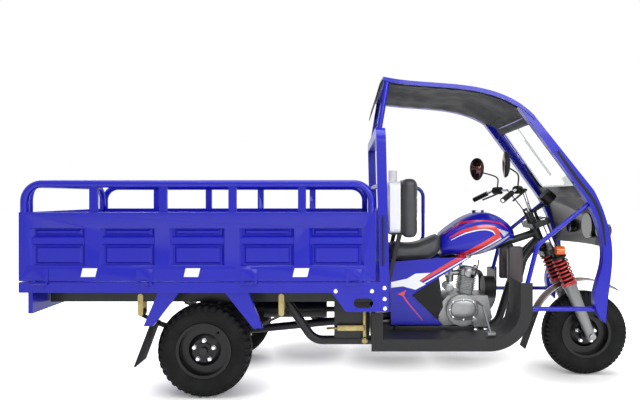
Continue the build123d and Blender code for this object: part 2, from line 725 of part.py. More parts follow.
# Headboard
def headboard():
    """The headboard: two leaning posts, a hoop over them, a cross tube and the front board."""
    foot = HEADBOARD_FOOT_X
    top = foot - HOOP_LEAN
    outline = [
        (foot, BED_TOP_Z),
        (foot + HOOP_POST_DEPTH, BED_TOP_Z),
        (top + HOOP_POST_DEPTH, HOOP_TOP_Z),
        (top, HOOP_TOP_Z),
    ]
    hoop = slab(outline, -BED_HALF_WIDTH, BED_HALF_WIDTH)
    corners = hoop.edges().filter_by(Axis.X).group_by(Axis.Z)[-1]
    hoop = fillet(corners, HOOP_CORNER)
    inner = BED_HALF_WIDTH - HOOP_POST_WIDTH
    window_x = (top - HOOP_POST_DEPTH, foot + 2 * HOOP_POST_DEPTH)
    window = block(window_x, (-inner, inner), (BED_TOP_Z, HOOP_TOP_Z - HOOP_POST_WIDTH))
    hoop -= window
    board_x = (foot + HEADBOARD_INSET, foot + HEADBOARD_INSET + HEADBOARD_SHEET)
    hoop += block(board_x, (-inner, inner), (BED_TOP_Z, HEADBOARD_TOP_Z))
    bar = (HOOP_BAR_X, HOOP_BAR_Z)
    return hoop + rod((bar[0], -inner, bar[1]), (bar[0], inner, bar[1]), HOOP_BAR_TUBE)


def bed_gussets():
    """The gusset plates under the bed's front corners, with their rounded slots."""
    outline = [
        (GUSSET_REAR_X, BED_BOTTOM_Z),
        (BED_FRONT_X, BED_BOTTOM_Z),
        (BED_FRONT_X, GUSSET_BOTTOM_Z),
        (GUSSET_FOOT_X, GUSSET_BOTTOM_Z),
    ]
    outer = BED_HALF_WIDTH - GUSSET_INSET
    plate = slab(outline, outer - GUSSET_SHEET, outer)
    slot = Rot(90, 0, 0) * SlotOverall(GUSSET_SLOT_LENGTH, GUSSET_SLOT_HEIGHT)
    slot = Pos(GUSSET_SLOT_X, outer, GUSSET_SLOT_Z) * slot
    plate -= extrude(slot, amount=2 * GUSSET_SHEET, both=True)
    return both_sides(plate)


def side_latches():
    """The upright latch handles on the headboard's posts."""
    points = [
        (LATCH_X, BED_HALF_WIDTH, LATCH_BOTTOM_Z),
        (LATCH_X, BED_HALF_WIDTH + LATCH_REACH, LATCH_BOTTOM_Z),
        (LATCH_X, BED_HALF_WIDTH + LATCH_REACH, LATCH_TOP_Z),
        (LATCH_X, BED_HALF_WIDTH, LATCH_TOP_Z),
    ]
    return both_sides(bent_tube(points, HANDLE_ROD, HANDLE_ROD))


# Chassis
def chassis_frame():
    """The welded frame: ladder rails, cradle tubes, spine, head tube and footboard outriggers."""
    rail_z = (BED_BOTTOM_Z - RAIL_HEIGHT, BED_BOTTOM_Z)
    rail_y = (RAIL_Y - RAIL_WIDTH / 2, RAIL_Y + RAIL_WIDTH / 2)
    half = block((RAIL_REAR_X, RAIL_FRONT_X), rail_y, rail_z)
    rail_middle = (rail_z[0] + rail_z[1]) / 2
    neck = on_steering(0, 0, DOWN_TUBE_HEIGHT)
    half += bent_tube(
        [
            (CRADLE_REAR_X, CRADLE_Y, rail_middle),
            (CRADLE_DROP_X, CRADLE_Y, rail_middle),
            (CRADLE_FLAT_X, CRADLE_Y, CRADLE_Z),
            (CRADLE_TURN_X, CRADLE_Y, CRADLE_Z),
            (CRADLE_FRONT_X, CRADLE_NECK_Y, CRADLE_Z),
            (DOWN_TUBE_X, CRADLE_NECK_Y / 2, DOWN_TUBE_Z),
            neck,
        ],
        CRADLE_TUBE,
        CRADLE_BEND,
    )
    seat_rail_z = SEAT_BOTTOM_Z - SEAT_GAP - SUBFRAME_TUBE / 2
    foot_z = FOOT_Z - FOOT_SHEET - OUTRIGGER_THICKNESS
    half += rod((SUBFRAME_X, SUBFRAME_Y, foot_z), (SUBFRAME_X, SUBFRAME_Y, seat_rail_z), SUBFRAME_TUBE)
    half += rod((SUBFRAME_X, 0, seat_rail_z), (SUBFRAME_X, SUBFRAME_Y, seat_rail_z), SUBFRAME_TUBE)
    frame = half + mirror(half, about=Plane.XZ)
    for x in CROSS_MEMBERS_X:
        span = (x - CROSS_MEMBER_WIDTH / 2, x + CROSS_MEMBER_WIDTH / 2)
        cross_z = (rail_middle - CROSS_MEMBER_HEIGHT / 2, rail_middle + CROSS_MEMBER_HEIGHT / 2)
        frame += block(span, (-rail_y[1], rail_y[1]), cross_z)
    foot_y = FOOT_OUTER_Y - 2 * FOOT_SHEET
    outrigger_top = FOOT_Z - FOOT_SHEET
    for x in OUTRIGGERS_X:
        span = (x - OUTRIGGER_WIDTH / 2, x + OUTRIGGER_WIDTH / 2)
        frame += block(span, (-foot_y, foot_y), (outrigger_top - OUTRIGGER_THICKNESS, outrigger_top))
    for x in ENGINE_PADS_X:
        span = (x - OUTRIGGER_WIDTH / 2, x + OUTRIGGER_WIDTH / 2)
        frame += block(span, (-CRADLE_NECK_Y, CRADLE_NECK_Y), (outrigger_top, ENGINE_BOTTOM_Z))
    frame += bent_tube(SPINE_POINTS, SPINE_TUBE, CRADLE_BEND)
    frame += rod(on_steering(0, 0, HEAD_BOTTOM), on_steering(0, 0, HEAD_TOP), HEAD_TUBE)
    stem = STEM_DIAMETER + 2 * RUNNING_FIT
    return frame - rod(on_steering(0, 0, LOWER_YOKE), on_steering(0, 0, UPPER_YOKE + YOKE_THICKNESS), stem)


def footboard_path(offset):
    """The footboard's bent line in side view, moved down and forward by an offset."""
    radius = FOOT_RADIUS + offset
    front = FOOT_FRONT_X - FOOT_SKIRT + offset
    low = FOOT_Z - offset
    bend = (front - radius, low + radius)
    middle = (bend[0] + radius * sqrt(0.5), bend[1] - radius * sqrt(0.5))
    floor = (bend[0], low)
    riser = (front, bend[1])
    return floor, middle, riser, front, low


def footboard_band(offset_in, offset_out, rear_x, y_low, y_high):
    """A band between two such lines, extruded across."""
    inner = footboard_path(offset_in)
    outer = footboard_path(offset_out)
    top = FOOT_RISER_TOP_Z

    def at(point):
        return (point[0], y_low, point[1])

    outline = Line(at((rear_x, inner[4])), at(inner[0]))
    outline += ThreePointArc(at(inner[0]), at(inner[1]), at(inner[2]))
    outline += Polyline(at(inner[2]), at((inner[3], top)), at((outer[3], top)), at(outer[2]))
    outline += ThreePointArc(at(outer[2]), at(outer[1]), at(outer[0]))
    outline += Polyline(at(outer[0]), at((rear_x, outer[4])), at((rear_x, inner[4])))
    return extrude(make_face(outline), amount=y_high - y_low, dir=(0, 1, 0))


def footboards():
    """The footboards: a floor sheet that bends up into a riser, a skirt and a rear upright."""
    skirt_y = (FOOT_OUTER_Y - FOOT_SHEET, FOOT_OUTER_Y)
    board = footboard_band(0, FOOT_SHEET, FOOT_REAR_X, FOOT_INNER_Y, FOOT_OUTER_Y)
    board += footboard_band(0, FOOT_SKIRT, FOOT_REAR_X, *skirt_y)
    upright_x = (FOOT_REAR_X, FOOT_REAR_X + FOOT_UPRIGHT_WIDTH)
    board += block(upright_x, skirt_y, (FOOT_Z - FOOT_SKIRT, FOOT_UPRIGHT_TOP_Z))
    upright_z = (FOOT_Z - FOOT_SHEET, FOOT_UPRIGHT_TOP_Z)
    board += block((FOOT_REAR_X, FOOT_REAR_X + FOOT_SHEET), (FOOT_INNER_Y, FOOT_OUTER_Y), upright_z)
    return both_sides(board)


# Engine
def engine_crankcase():
    """The crankcase with its round side covers and gearbox tail."""
    outline = [
        (ENGINE_REAR_X, ENGINE_BOTTOM_Z + 40),
        (ENGINE_REAR_X + 40, ENGINE_BOTTOM_Z),
        (ENGINE_FRONT_X - 40, ENGINE_BOTTOM_Z),
        (ENGINE_FRONT_X, ENGINE_BOTTOM_Z + 60),
        (ENGINE_FRONT_X - 30, CRANKCASE_TOP_Z),
        (ENGINE_REAR_X + 60, CRANKCASE_TOP_Z),
        (ENGINE_REAR_X, CRANKCASE_TOP_Z - 70),
    ]
    case = slab(outline, -CRANKCASE_HALF_WIDTH, CRANKCASE_HALF_WIDTH)
    reach = CRANKCASE_HALF_WIDTH + COVER_DEPTH
    case += rod((COVER_X, -reach, COVER_Z), (COVER_X, reach, COVER_Z), COVER_DIAMETER)
    return case


def engine_cylinder(case):
    """The finned cylinder and its head, leaning a little forward, on top of the crankcase."""
    height = CYLINDER_TOP_Z - CRANKCASE_TOP_Z
    half = CYLINDER_WIDTH / 2
    barrel = block((-half, half), (-half, half), (0, height))
    lean = Pos(CYLINDER_X, 0, CRANKCASE_TOP_Z) * Rot(0, CYLINDER_TILT, 0)
    tilted = lean * (Pos(0, 0, -half / 2) * barrel)
    return tilted - case


def cooling_fan(case):
    """The round cooling fan shroud in front of the cylinder, seated on the crankcase's front corner."""
    return rod((FAN_X, 0, FAN_Z), (FAN_X + FAN_DEPTH, 0, FAN_Z), FAN_DIAMETER) - case


def exhaust(cylinder):
    """The exhaust pipe from the cylinder down and back on the left, with its muffler."""
    pipe = bent_tube(EXHAUST_POINTS, EXHAUST_TUBE, EXHAUST_BEND)
    rear = EXHAUST_POINTS[-1]
    muffler = rod(rear, (rear[0] - MUFFLER_LENGTH, rear[1], rear[2]), MUFFLER_DIAMETER)
    return pipe + muffler - cylinder


def brake_pedal():
    """The foot brake: its pivot boss, bent arm and pad."""
    arm = bent_tube(PEDAL_POINTS, PEDAL_ROD, PEDAL_ROD)
    pad = PEDAL_POINTS[-1]
    size = PEDAL_PAD / 2
    thick = (pad[2] - PEDAL_ROD / 2, pad[2] + PEDAL_ROD / 2)
    return arm + block((pad[0] - size, pad[0] + size), (pad[1] - size, pad[1] + size), thick)


# Seat, tank and side panels
def seat():
    """The rider's saddle: dipped in the middle, its nose up against the tank."""
    y = -SEAT_HALF_WIDTH
    outline = Spline(
        (SEAT_REAR_X, y, SEAT_REAR_TOP_Z),
        (SEAT_DIP_X, y, SEAT_DIP_Z),
        (SEAT_FRONT_X, y, SEAT_NOSE_Z),
    )
    outline += Polyline(
        (SEAT_FRONT_X, y, SEAT_NOSE_Z),
        (SEAT_FRONT_X, y, SEAT_FRONT_BOTTOM_Z),
        (SEAT_CHIN_X, y, SEAT_BOTTOM_Z),
        (SEAT_REAR_X, y, SEAT_BOTTOM_Z),
        (SEAT_REAR_X, y, SEAT_REAR_TOP_Z),
    )
    return extrude(make_face(outline), amount=2 * SEAT_HALF_WIDTH, dir=(0, 1, 0))


def fuel_tank():
    """The fuel tank, lofted over its length, with a tunnel for the spine."""
    sections = []
    for x, low, high, width, corner in TANK_SECTIONS:
        plane = Plane(origin=(x, 0, (low + high) / 2), x_dir=(0, 1, 0), z_dir=(1, 0, 0))
        sections.append(plane * RectangleRounded(width, high - low, corner))
    tank = loft(sections)
    half = SPINE_TUBE / 2 + TUNNEL_GAP
    top = [(point[0], point[2] + half) for point in SPINE_POINTS]
    bottom = [(top[-1][0], BED_TOP_Z), (top[0][0], BED_TOP_Z)]
    return tank - slab(top + bottom, -half, half)


def fuel_cap():
    """The filler cap on the tank's top."""
    z = TANK_CAP_Z
    return rod((TANK_CAP_X, 0, z), (TANK_CAP_X, 0, z + CAP_HEIGHT), CAP_DIAMETER)


def side_panels():
    """The arrow-shaped side panels below the seat, with the filter covers in their notch."""
    inner = SUBFRAME_Y + SUBFRAME_TUBE / 2 + SEAT_GAP
    return both_sides(slab(SIDE_PANEL_OUTLINE, inner, inner + SIDE_PANEL_SHEET))


def filter_covers():
    """The dark covers that fill the side panels' notch."""
    inner = SUBFRAME_Y + SUBFRAME_TUBE / 2 + SEAT_GAP
    return both_sides(slab(FILTER_OUTLINE, inner, inner + SIDE_PANEL_SHEET + FILTER_COVER_PROUD))


def backrest():
    """The backrest cushion."""
    pad = block(
        (BACKREST_X + SEAT_GAP, BACKREST_X + BACKREST_DEPTH),
        (-BACKREST_HALF_WIDTH, BACKREST_HALF_WIDTH),
        (BACKREST_BOTTOM_Z, BACKREST_TOP_Z),
    )
    return fillet(pad.edges().filter_by(Axis.X), BACKREST_CORNER)


def water_tank():
    """The flat water tank behind the backrest, with its filler neck."""
    tank = block(
        (WATER_TANK_X, WATER_TANK_X + WATER_TANK_DEPTH),
        (-WATER_TANK_HALF_WIDTH, WATER_TANK_HALF_WIDTH),
        (WATER_TANK_BOTTOM_Z, WATER_TANK_TOP_Z),
    )
    tank = fillet(tank.edges().filter_by(Axis.X), WATER_TANK_CORNER)
    middle = WATER_TANK_X + WATER_TANK_DEPTH / 2
    return tank + rod((middle, 0, WATER_TANK_TOP_Z), (middle, 0, WATER_NECK_TOP_Z), WATER_NECK_DIAMETER)


def backrest_bracket():
    """The shelf and back plate that carry the water tank and the backrest, on two flat struts."""
    shelf_top = WATER_TANK_BOTTOM_Z - SEAT_GAP
    plate_x = (BACKREST_X - BRACKET_SHEET, BACKREST_X)
    bracket = block((WATER_TANK_X, BACKREST_X), (-BRACKET_Y, BRACKET_Y), (shelf_top - BRACKET_SHEET, shelf_top))
    bracket += block(plate_x, (-BRACKET_PLATE_Y, BRACKET_PLATE_Y), (shelf_top - BRACKET_SHEET, BRACKET_TOP_Z))
    outline = [
        (BED_FRONT_X, STRUT_FOOT_Z),
        (STRUT_FOOT_X, STRUT_FOOT_Z),
        (BACKREST_X, shelf_top - BRACKET_SHEET),
        (BACKREST_X, shelf_top),
        (BACKREST_X - STRUT_WIDTH, shelf_top),
        (STRUT_FOOT_X - STRUT_WIDTH / 2, STRUT_FOOT_Z + STRUT_WIDTH),
        (BED_FRONT_X, STRUT_FOOT_Z + STRUT_WIDTH),
    ]
    strut = slab(outline, BRACKET_Y, BRACKET_Y + BRACKET_SHEET)
    return bracket + strut + mirror(strut, about=Plane.XZ)


def guard_rail():
    """The tube guard on the left of the seat, both ends on the headboard."""
    back = HEADBOARD_FOOT_X + HEADBOARD_INSET + HEADBOARD_SHEET
    points = [
        (HOOP_BAR_X + HOOP_BAR_TUBE / 2, GUARD_Y, HOOP_BAR_Z),
        (GUARD_FRONT_X, GUARD_Y, HOOP_BAR_Z),
        (GUARD_FRONT_X, GUARD_Y, GUARD_LOW_Z),
        (back, GUARD_Y, GUARD_LOW_Z),
    ]
    bar = rod((HOOP_BAR_X, 0, HOOP_BAR_Z), (HOOP_BAR_X, BED_HALF_WIDTH, HOOP_BAR_Z), HOOP_BAR_TUBE)
    return bent_tube(points, GUARD_TUBE, GUARD_BEND) - bar


# Half-cab
def roof_canopy():
    """The roof: an arched shell, lofted from its rear lip to the top of the windscreen."""
    sections = []
    for x, edge_z in ROOF_STATIONS:
        low = edge_z - ROOF_SHELL
        corner = (x, -ROOF_HALF_WIDTH, edge_z)
        other = (x, ROOF_HALF_WIDTH, edge_z)
        inner = (x, ROOF_HALF_WIDTH, low)
        inner_other = (x, -ROOF_HALF_WIDTH, low)
        outline = ThreePointArc(corner, (x, 0, edge_z + ROOF_CROWN), other)
        outline += Line(other, inner)
        outline += ThreePointArc(inner, (x, 0, low + ROOF_CROWN), inner_other)
        outline += Line(inner_other, corner)
        sections.append(make_face(outline))
    return loft(sections)


def roof_posts(roof):
    """The two posts from the hoop's top up to the roof."""
    foot = (HOOP_TOP_X, ROOF_POST_Y, HOOP_TOP_Z)
    head = (ROOF_POST_TOP_X, ROOF_POST_Y, ROOF_STATIONS[0][1] - ROOF_SHELL / 2)
    return both_sides(rod(foot, head, ROOF_POST_TUBE) - roof - headboard_top())


def headboard_top():
    """What the roof posts stand on."""
    return block((0, BED_FRONT_X), (0, BED_HALF_WIDTH), (BED_TOP_Z, HOOP_TOP_Z))


def pillars(roof):
    """The windscreen pillars, which run down into the leg blades, and the frame between them."""
    inner = PILLAR_OUTER_Y - PILLAR_WIDTH
    outline = Polyline(*[(x, inner, z) for x, z in (PILLAR_BACK_LINE[1],) + tuple(PILLAR_FRONT_LINE)])
    outline += Spline(*[(x, inner, z) for x, z in PILLAR_FRONT_CURVE])
    outline += Spline(*[(x, inner, z) for x, z in PILLAR_BACK_CURVE])
    outline += Polyline(*[(x, inner, z) for x, z in PILLAR_BACK_LINE])
    pillar = extrude(make_face(outline), amount=PILLAR_WIDTH, dir=(0, 1, 0)) - roof
    width = 2 * inner
    frame = extrude(SCREEN * Rectangle(width, SCREEN_LENGTH), amount=SCREEN_FRAME)
    frame -= extrude(SCREEN * glass_outline(0), amount=SCREEN_FRAME)
    return pillar + mirror(pillar, about=Plane.XZ) + (frame - roof)


def glass_outline(gap):
    """The windscreen's outline in its own plane, taken in by a gap."""
    half = SCREEN_LENGTH / 2 - GLASS_MARGIN - gap
    low = GLASS_BOTTOM_HALF - gap
    high = GLASS_TOP_HALF - gap
    return make_face(Polyline((-low, -half), (low, -half), (high, half), (-high, half), close=True))


def windscreen():
    """The windscreen's glass, in the middle of its frame."""
    middle = SCREEN.offset((SCREEN_FRAME - GLASS_THICKNESS) / 2)
    return extrude(middle * glass_outline(SEAT_GAP), amount=GLASS_THICKNESS)


def wiper():
    """The wiper: its spindle through the frame's top bar, the arm and the blade on the glass."""
    glass = (SCREEN_FRAME + GLASS_THICKNESS) / 2 + SEAT_GAP
    top = SCREEN_LENGTH / 2 - GLASS_MARGIN + WIPER_BOSS / 2
    face = SCREEN_FRAME + SEAT_GAP
    boss = extrude(SCREEN.offset(face) * Pos(WIPER_Y, top) * Circle(WIPER_BOSS / 2), amount=WIPER_BOSS / 2)
    arm_middle = Pos(WIPER_Y, top - WIPER_ARM / 2)
    arm = extrude(SCREEN.offset(face) * arm_middle * Rectangle(WIPER_WIDTH, WIPER_ARM), amount=WIPER_WIDTH / 2)
    blade_middle = Pos(WIPER_Y, top - WIPER_ARM)
    blade_height = face + WIPER_WIDTH / 2 - glass
    blade = extrude(SCREEN.offset(glass) * blade_middle * Rectangle(WIPER_WIDTH, WIPER_BLADE), amount=blade_height)
    return boss + arm + blade


def fascia(lamps):
    """The curved front fascia below the windscreen, with holes for its lamps."""
    sections = []
    for z, side_x, nose_x in FASCIA_STATIONS:
        half = PILLAR_OUTER_Y - PILLAR_WIDTH - SEAT_GAP
        outline = ThreePointArc((side_x, -half, z), (nose_x, 0, z), (side_x, half, z))
        outline += Line((side_x, half, z), (side_x - FASCIA_WALL, half, z))
        back = side_x - FASCIA_WALL
        outline += ThreePointArc((back, half, z), (nose_x - FASCIA_WALL, 0, z), (back, -half, z))
        outline += Line((back, -half, z), (side_x, -half, z))
        sections.append(make_face(outline))
    return loft(sections) - lamps


def headlamps(gap):
    """The main headlamp and the two small round lamps, grown by a gap all round."""
    back = (MAIN_LAMP_X - LAMP_DEPTH, 0, MAIN_LAMP_Z)
    lamps = rod(back, (MAIN_LAMP_X, 0, MAIN_LAMP_Z), MAIN_LAMP_DIAMETER + 2 * gap)
    for y in (-SMALL_LAMP_Y, SMALL_LAMP_Y):
        back = (SMALL_LAMP_X - LAMP_DEPTH, y, SMALL_LAMP_Z)
        lamps += rod(back, (SMALL_LAMP_X, y, SMALL_LAMP_Z), SMALL_LAMP_DIAMETER + 2 * gap)
    return lamps


def cab_braces(cab, boards):
    """The tube braces on each side, from the footboard's riser to the pillar."""
    y = FOOT_OUTER_Y - BRACE_TUBE / 2
    upper = bent_tube([(x, y, z) for x, z in UPPER_BRACE], BRACE_TUBE, BRACE_BEND)
    lower = rod((FOOT_FRONT_X - FOOT_SKIRT, y, LOWER_BRACE_Z), (LOWER_BRACE_X, y, LOWER_BRACE_Z), BRACE_TUBE)
    return both_sides(upper - cab - boards) + both_sides(lower - cab - boards)


# Steering
def local_rod(x, y, low, high, diameter):
    """A round bar along the steering axis, at a place beside it."""
    return rod(on_steering(x, y, low), on_steering(x, y, high), diameter)


def yoke(height):
    """One fork yoke: a rounded plate square to the steering axis."""
    depth = FORK_OFFSET + STANCHION_DIAMETER / 2 + YOKE_REAR + YOKE_MARGIN
    middle = Pos((depth / 2 - YOKE_REAR), 0)
    outline = STEERING.offset(height) * middle * RectangleRounded(depth, 2 * YOKE_HALF_WIDTH, YOKE_CORNER)
    return extrude(outline, amount=YOKE_THICKNESS)


def fork_yokes(bar):
    """The two yokes on their stem, with the spring seats below and the bar risers on top."""
    yokes = yoke(LOWER_YOKE) + yoke(UPPER_YOKE)
    yokes += local_rod(0, 0, LOWER_YOKE, UPPER_YOKE + YOKE_THICKNESS, STEM_DIAMETER)
    for y in (-FORK_LEG_Y, FORK_LEG_Y):
        yokes += local_rod(FORK_OFFSET, y, SPRING_TOP, SPRING_TOP + SPRING_SEAT, SPRING_DIAMETER)
        yokes += local_rod(FORK_OFFSET, y, SPRING_TOP, LOWER_YOKE, SPRING_COVER)
    for y in (-RISER_Y, RISER_Y):
        yokes += local_rod(0, y, UPPER_YOKE, BAR_HEIGHT + RISER_DIAMETER / 2, RISER_DIAMETER)
    for y in (-FORK_LEG_Y, FORK_LEG_Y):
        top = UPPER_YOKE + 2 * YOKE_THICKNESS
        yokes -= local_rod(FORK_OFFSET, y, SPRING_TOP - SPRING_SEAT, top, STANCHION_DIAMETER + 2 * SEAT_GAP)
    return yokes - bar


def fork_stanchions():
    """The two chrome tubes, from inside the legs up through both yokes."""
    tube = local_rod(FORK_OFFSET, FORK_LEG_Y, LEG_TOP - STANCHION_DEPTH, STANCHION_TOP, STANCHION_DIAMETER)
    return both_sides(tube)


def fork_legs():
    """The two lower legs: tapered, with a spring collar on top and the axle's eye at the foot."""
    place = STEERING.offset(LEG_FOOT)
    at = Pos(FORK_OFFSET, FORK_LEG_Y)
    foot = place * at * Circle(LEG_FOOT_DIAMETER / 2)
    head = STEERING.offset(LEG_TOP - SPRING_SEAT) * at * Circle(LEG_TOP_DIAMETER / 2)
    leg = loft([foot, head])
    leg += local_rod(FORK_OFFSET, FORK_LEG_Y, LEG_TOP - SPRING_SEAT, LEG_TOP, SPRING_DIAMETER)
    socket = STANCHION_DIAMETER + 2 * SEAT_GAP
    leg -= local_rod(FORK_OFFSET, FORK_LEG_Y, LEG_TOP - STANCHION_DEPTH - SEAT_GAP, LEG_TOP, socket)
    eye = FRONT_AXLE_DIAMETER + 2 * SEAT_GAP
    leg -= rod((FRONT_AXLE_X, 0, AXLE_Z), (FRONT_AXLE_X, 2 * FORK_LEG_Y, AXLE_Z), eye)
    return both_sides(leg)


def fork_springs():
    """The two outside coil springs."""
    low = LEG_TOP + SEAT_GAP
    high = SPRING_TOP - SEAT_GAP
    spring = local_rod(FORK_OFFSET, FORK_LEG_Y, low, high, SPRING_DIAMETER)
    spring -= local_rod(FORK_OFFSET, FORK_LEG_Y, low, high, SPRING_DIAMETER - 2 * SPRING_WIRE)
    return both_sides(spring)


def front_axle():
    """The front axle with its head and nut outside the legs."""
    taper = (LEG_TOP_DIAMETER - LEG_FOOT_DIAMETER) / (LEG_TOP - SPRING_SEAT - LEG_FOOT)
    leg_diameter = LEG_FOOT_DIAMETER + taper * (AXLE_NUT_DIAMETER / 2 - LEG_FOOT)
    reach = FORK_LEG_Y + leg_diameter / 2 + SEAT_GAP
    end = reach + AXLE_NUT
    axle = rod((FRONT_AXLE_X, -end, AXLE_Z), (FRONT_AXLE_X, end, AXLE_Z), FRONT_AXLE_DIAMETER)
    for low, high in ((-reach - AXLE_NUT, -reach), (reach, reach + AXLE_NUT)):
        axle += rod((FRONT_AXLE_X, low, AXLE_Z), (FRONT_AXLE_X, high, AXLE_Z), AXLE_NUT_DIAMETER)
    return axle


def ring_point(radius, angle, y):
    """A point round the front axle, by its angle above level ahead."""
    return (FRONT_AXLE_X + radius * cos(radians(angle)), y, AXLE_Z + radius * sin(radians(angle)))


def front_fender():
    """The front fender: an arched sheet between the fork legs, on two bosses."""
    y = -FENDER_HALF_WIDTH
    outer = FENDER_RADIUS
    inner = FENDER_RADIUS - FENDER_SHEET
    start = FENDER_FRONT_ANGLE
    end = FENDER_REAR_ANGLE
    middle = (start + end) / 2
    outline = ThreePointArc(ring_point(outer, start, y), ring_point(outer, middle, y), ring_point(outer, end, y))
    outline += Line(ring_point(outer, end, y), ring_point(inner, end, y))
    outline += ThreePointArc(ring_point(inner, end, y), ring_point(inner, middle, y), ring_point(inner, start, y))
    outline += Line(ring_point(inner, start, y), ring_point(outer, start, y))
    sheet = extrude(make_face(outline), amount=2 * FENDER_HALF_WIDTH, dir=(0, 1, 0))
    boss_top = on_steering(FORK_OFFSET, 0, FENDER_RADIUS)
    low = (boss_top[0], -FORK_LEG_Y, boss_top[2])
    high = (boss_top[0], FORK_LEG_Y, boss_top[2])
    boss = rod(low, high, FENDER_BOSS) - grown_legs()
    between_legs = FORK_LEG_Y - LEG_FOOT_DIAMETER / 2
    keep = block((0, OVERALL_LENGTH), (-between_legs, between_legs), (0, HOOP_TOP_Z))
    return sheet + (boss & keep)


def grown_legs():
    """The fork legs' outside, with the seat gap round it."""
    at = Pos(FORK_OFFSET, FORK_LEG_Y)
    foot = STEERING.offset(LEG_FOOT) * at * Circle(LEG_FOOT_DIAMETER / 2 + SEAT_GAP)
    head = STEERING.offset(LEG_TOP - SPRING_SEAT - SEAT_GAP) * at * Circle(LEG_TOP_DIAMETER / 2 + SEAT_GAP)
    shoulder = LEG_TOP - SPRING_SEAT - SEAT_GAP
    collar = local_rod(FORK_OFFSET, FORK_LEG_Y, shoulder, SPRING_TOP, SPRING_DIAMETER + 2 * SEAT_GAP)
    leg = loft([foot, head]) + collar
    return leg + mirror(leg, about=Plane.XZ)


def front_flap():
    """The rubber flap below the fender's rear end."""
    top = ring_point(FENDER_RADIUS, FENDER_REAR_ANGLE, 0)
    inner = ring_point(FENDER_RADIUS - FRONT_FLAP_SHEET, FENDER_REAR_ANGLE, 0)
    outline = [
        (top[0], top[2]),
        (inner[0], inner[2]),
        (FRONT_FLAP_FOOT_X + FRONT_FLAP_SHEET, FRONT_FLAP_BOTTOM_Z),
        (FRONT_FLAP_FOOT_X, FRONT_FLAP_BOTTOM_Z),
    ]
    half = FENDER_HALF_WIDTH - FRONT_FLAP_INSET
    return slab(outline, -half, half)


def handlebar(diameter):
    """The bent handlebar, from grip to grip."""
    right = [(x, -y, z) for x, y, z in BAR_POINTS]
    return bent_tube(right + BAR_POINTS[::-1], diameter, BAR_BEND)


def along(start, end, distance):
    """The point at a distance from one point towards another."""
    step = (Vector(*end) - Vector(*start)).normalized() * distance
    return tuple(Vector(*start) + step)


def bar_controls(bar):
    """The grips, switch clusters and hand levers."""
    end, bend = BAR_POINTS[0], BAR_POINTS[1]
    shoulder = BAR_POINTS[2]
    grip = rod(end, along(end, bend, GRIP_LENGTH), GRIP_DIAMETER)
    cluster_start = along(bend, shoulder, CLUSTER_INSET)
    cluster_end = along(bend, shoulder, CLUSTER_INSET + CLUSTER_LENGTH)
    cluster = rod(cluster_start, cluster_end, CLUSTER_DIAMETER)
    pivot = along(cluster_start, cluster_end, CLUSTER_LENGTH / 2)
    knuckle = (pivot[0] + LEVER_AHEAD, pivot[1], pivot[2])
    tip = (end[0] + LEVER_AHEAD + LEVER_FLARE, end[1], end[2])
    lever = rod(pivot, knuckle, LEVER_DIAMETER * 1.5) + rod(knuckle, tip, LEVER_DIAMETER)
    return both_sides(grip - bar) + both_sides(cluster + lever - bar)


def mirrors(controls):
    """The two mirrors on their bent stalks, which stand on the switch clusters."""
    foot = along(BAR_POINTS[1], BAR_POINTS[2], CLUSTER_INSET + CLUSTER_LENGTH / 2)
    knee = (foot[0], foot[1] + MIRROR_STALK, foot[2] + MIRROR_RISE)
    head = (MIRROR_X + MIRROR_DEPTH / 2, MIRROR_Y, MIRROR_Z)
    stalk = bent_tube([foot, knee, head], MIRROR_STALK, MIRROR_BEND)
    face = Plane(origin=(MIRROR_X, MIRROR_Y, MIRROR_Z), x_dir=(0, 1, 0), z_dir=(1, 0, 0))
    housing = extrude(face * Ellipse(MIRROR_WIDTH / 2, MIRROR_HEIGHT / 2), amount=MIRROR_DEPTH)
    reach = CLUSTER_DIAMETER / 2 + SEAT_GAP
    collar = rod((foot[0], foot[1], foot[2] - reach), (foot[0], foot[1], foot[2] + reach), CLUSTER_DIAMETER)
    return both_sides(stalk + housing - controls - collar)


def gauge():
    """The round gauge on its arm from the upper yoke."""
    back = on_steering(GAUGE_AHEAD, 0, GAUGE_HEIGHT)
    front = on_steering(GAUGE_AHEAD - GAUGE_DEPTH / 2, 0, GAUGE_HEIGHT + GAUGE_DEPTH)
    foot = on_steering(FORK_OFFSET, 0, UPPER_YOKE + YOKE_THICKNESS)
    arm = bent_tube([foot, on_steering(FORK_OFFSET, 0, GAUGE_HEIGHT - GAUGE_ARM), back], GAUGE_ARM, GAUGE_ARM)
    cut = rod(foot, on_steering(FORK_OFFSET, 0, UPPER_YOKE), 4 * GAUGE_ARM)
    return rod(back, front, GAUGE_DIAMETER) + (arm - cut)


def turn_signals():
    """The two turn signals on their stalks from the lower yoke."""
    middle = on_steering(SIGNAL_AHEAD, SIGNAL_Y, LOWER_YOKE + YOKE_THICKNESS / 2)
    lamp_start = (middle[0] - SIGNAL_DEPTH / 2, middle[1], middle[2])
    lamp_end = (middle[0] + SIGNAL_DEPTH / 2, middle[1], middle[2])
    side = on_steering(SIGNAL_AHEAD, YOKE_HALF_WIDTH, LOWER_YOKE + YOKE_THICKNESS / 2)
    stalk = rod(side, middle, SIGNAL_STALK)
    return both_sides(rod(lamp_start, lamp_end, SIGNAL_DIAMETER) + stalk)


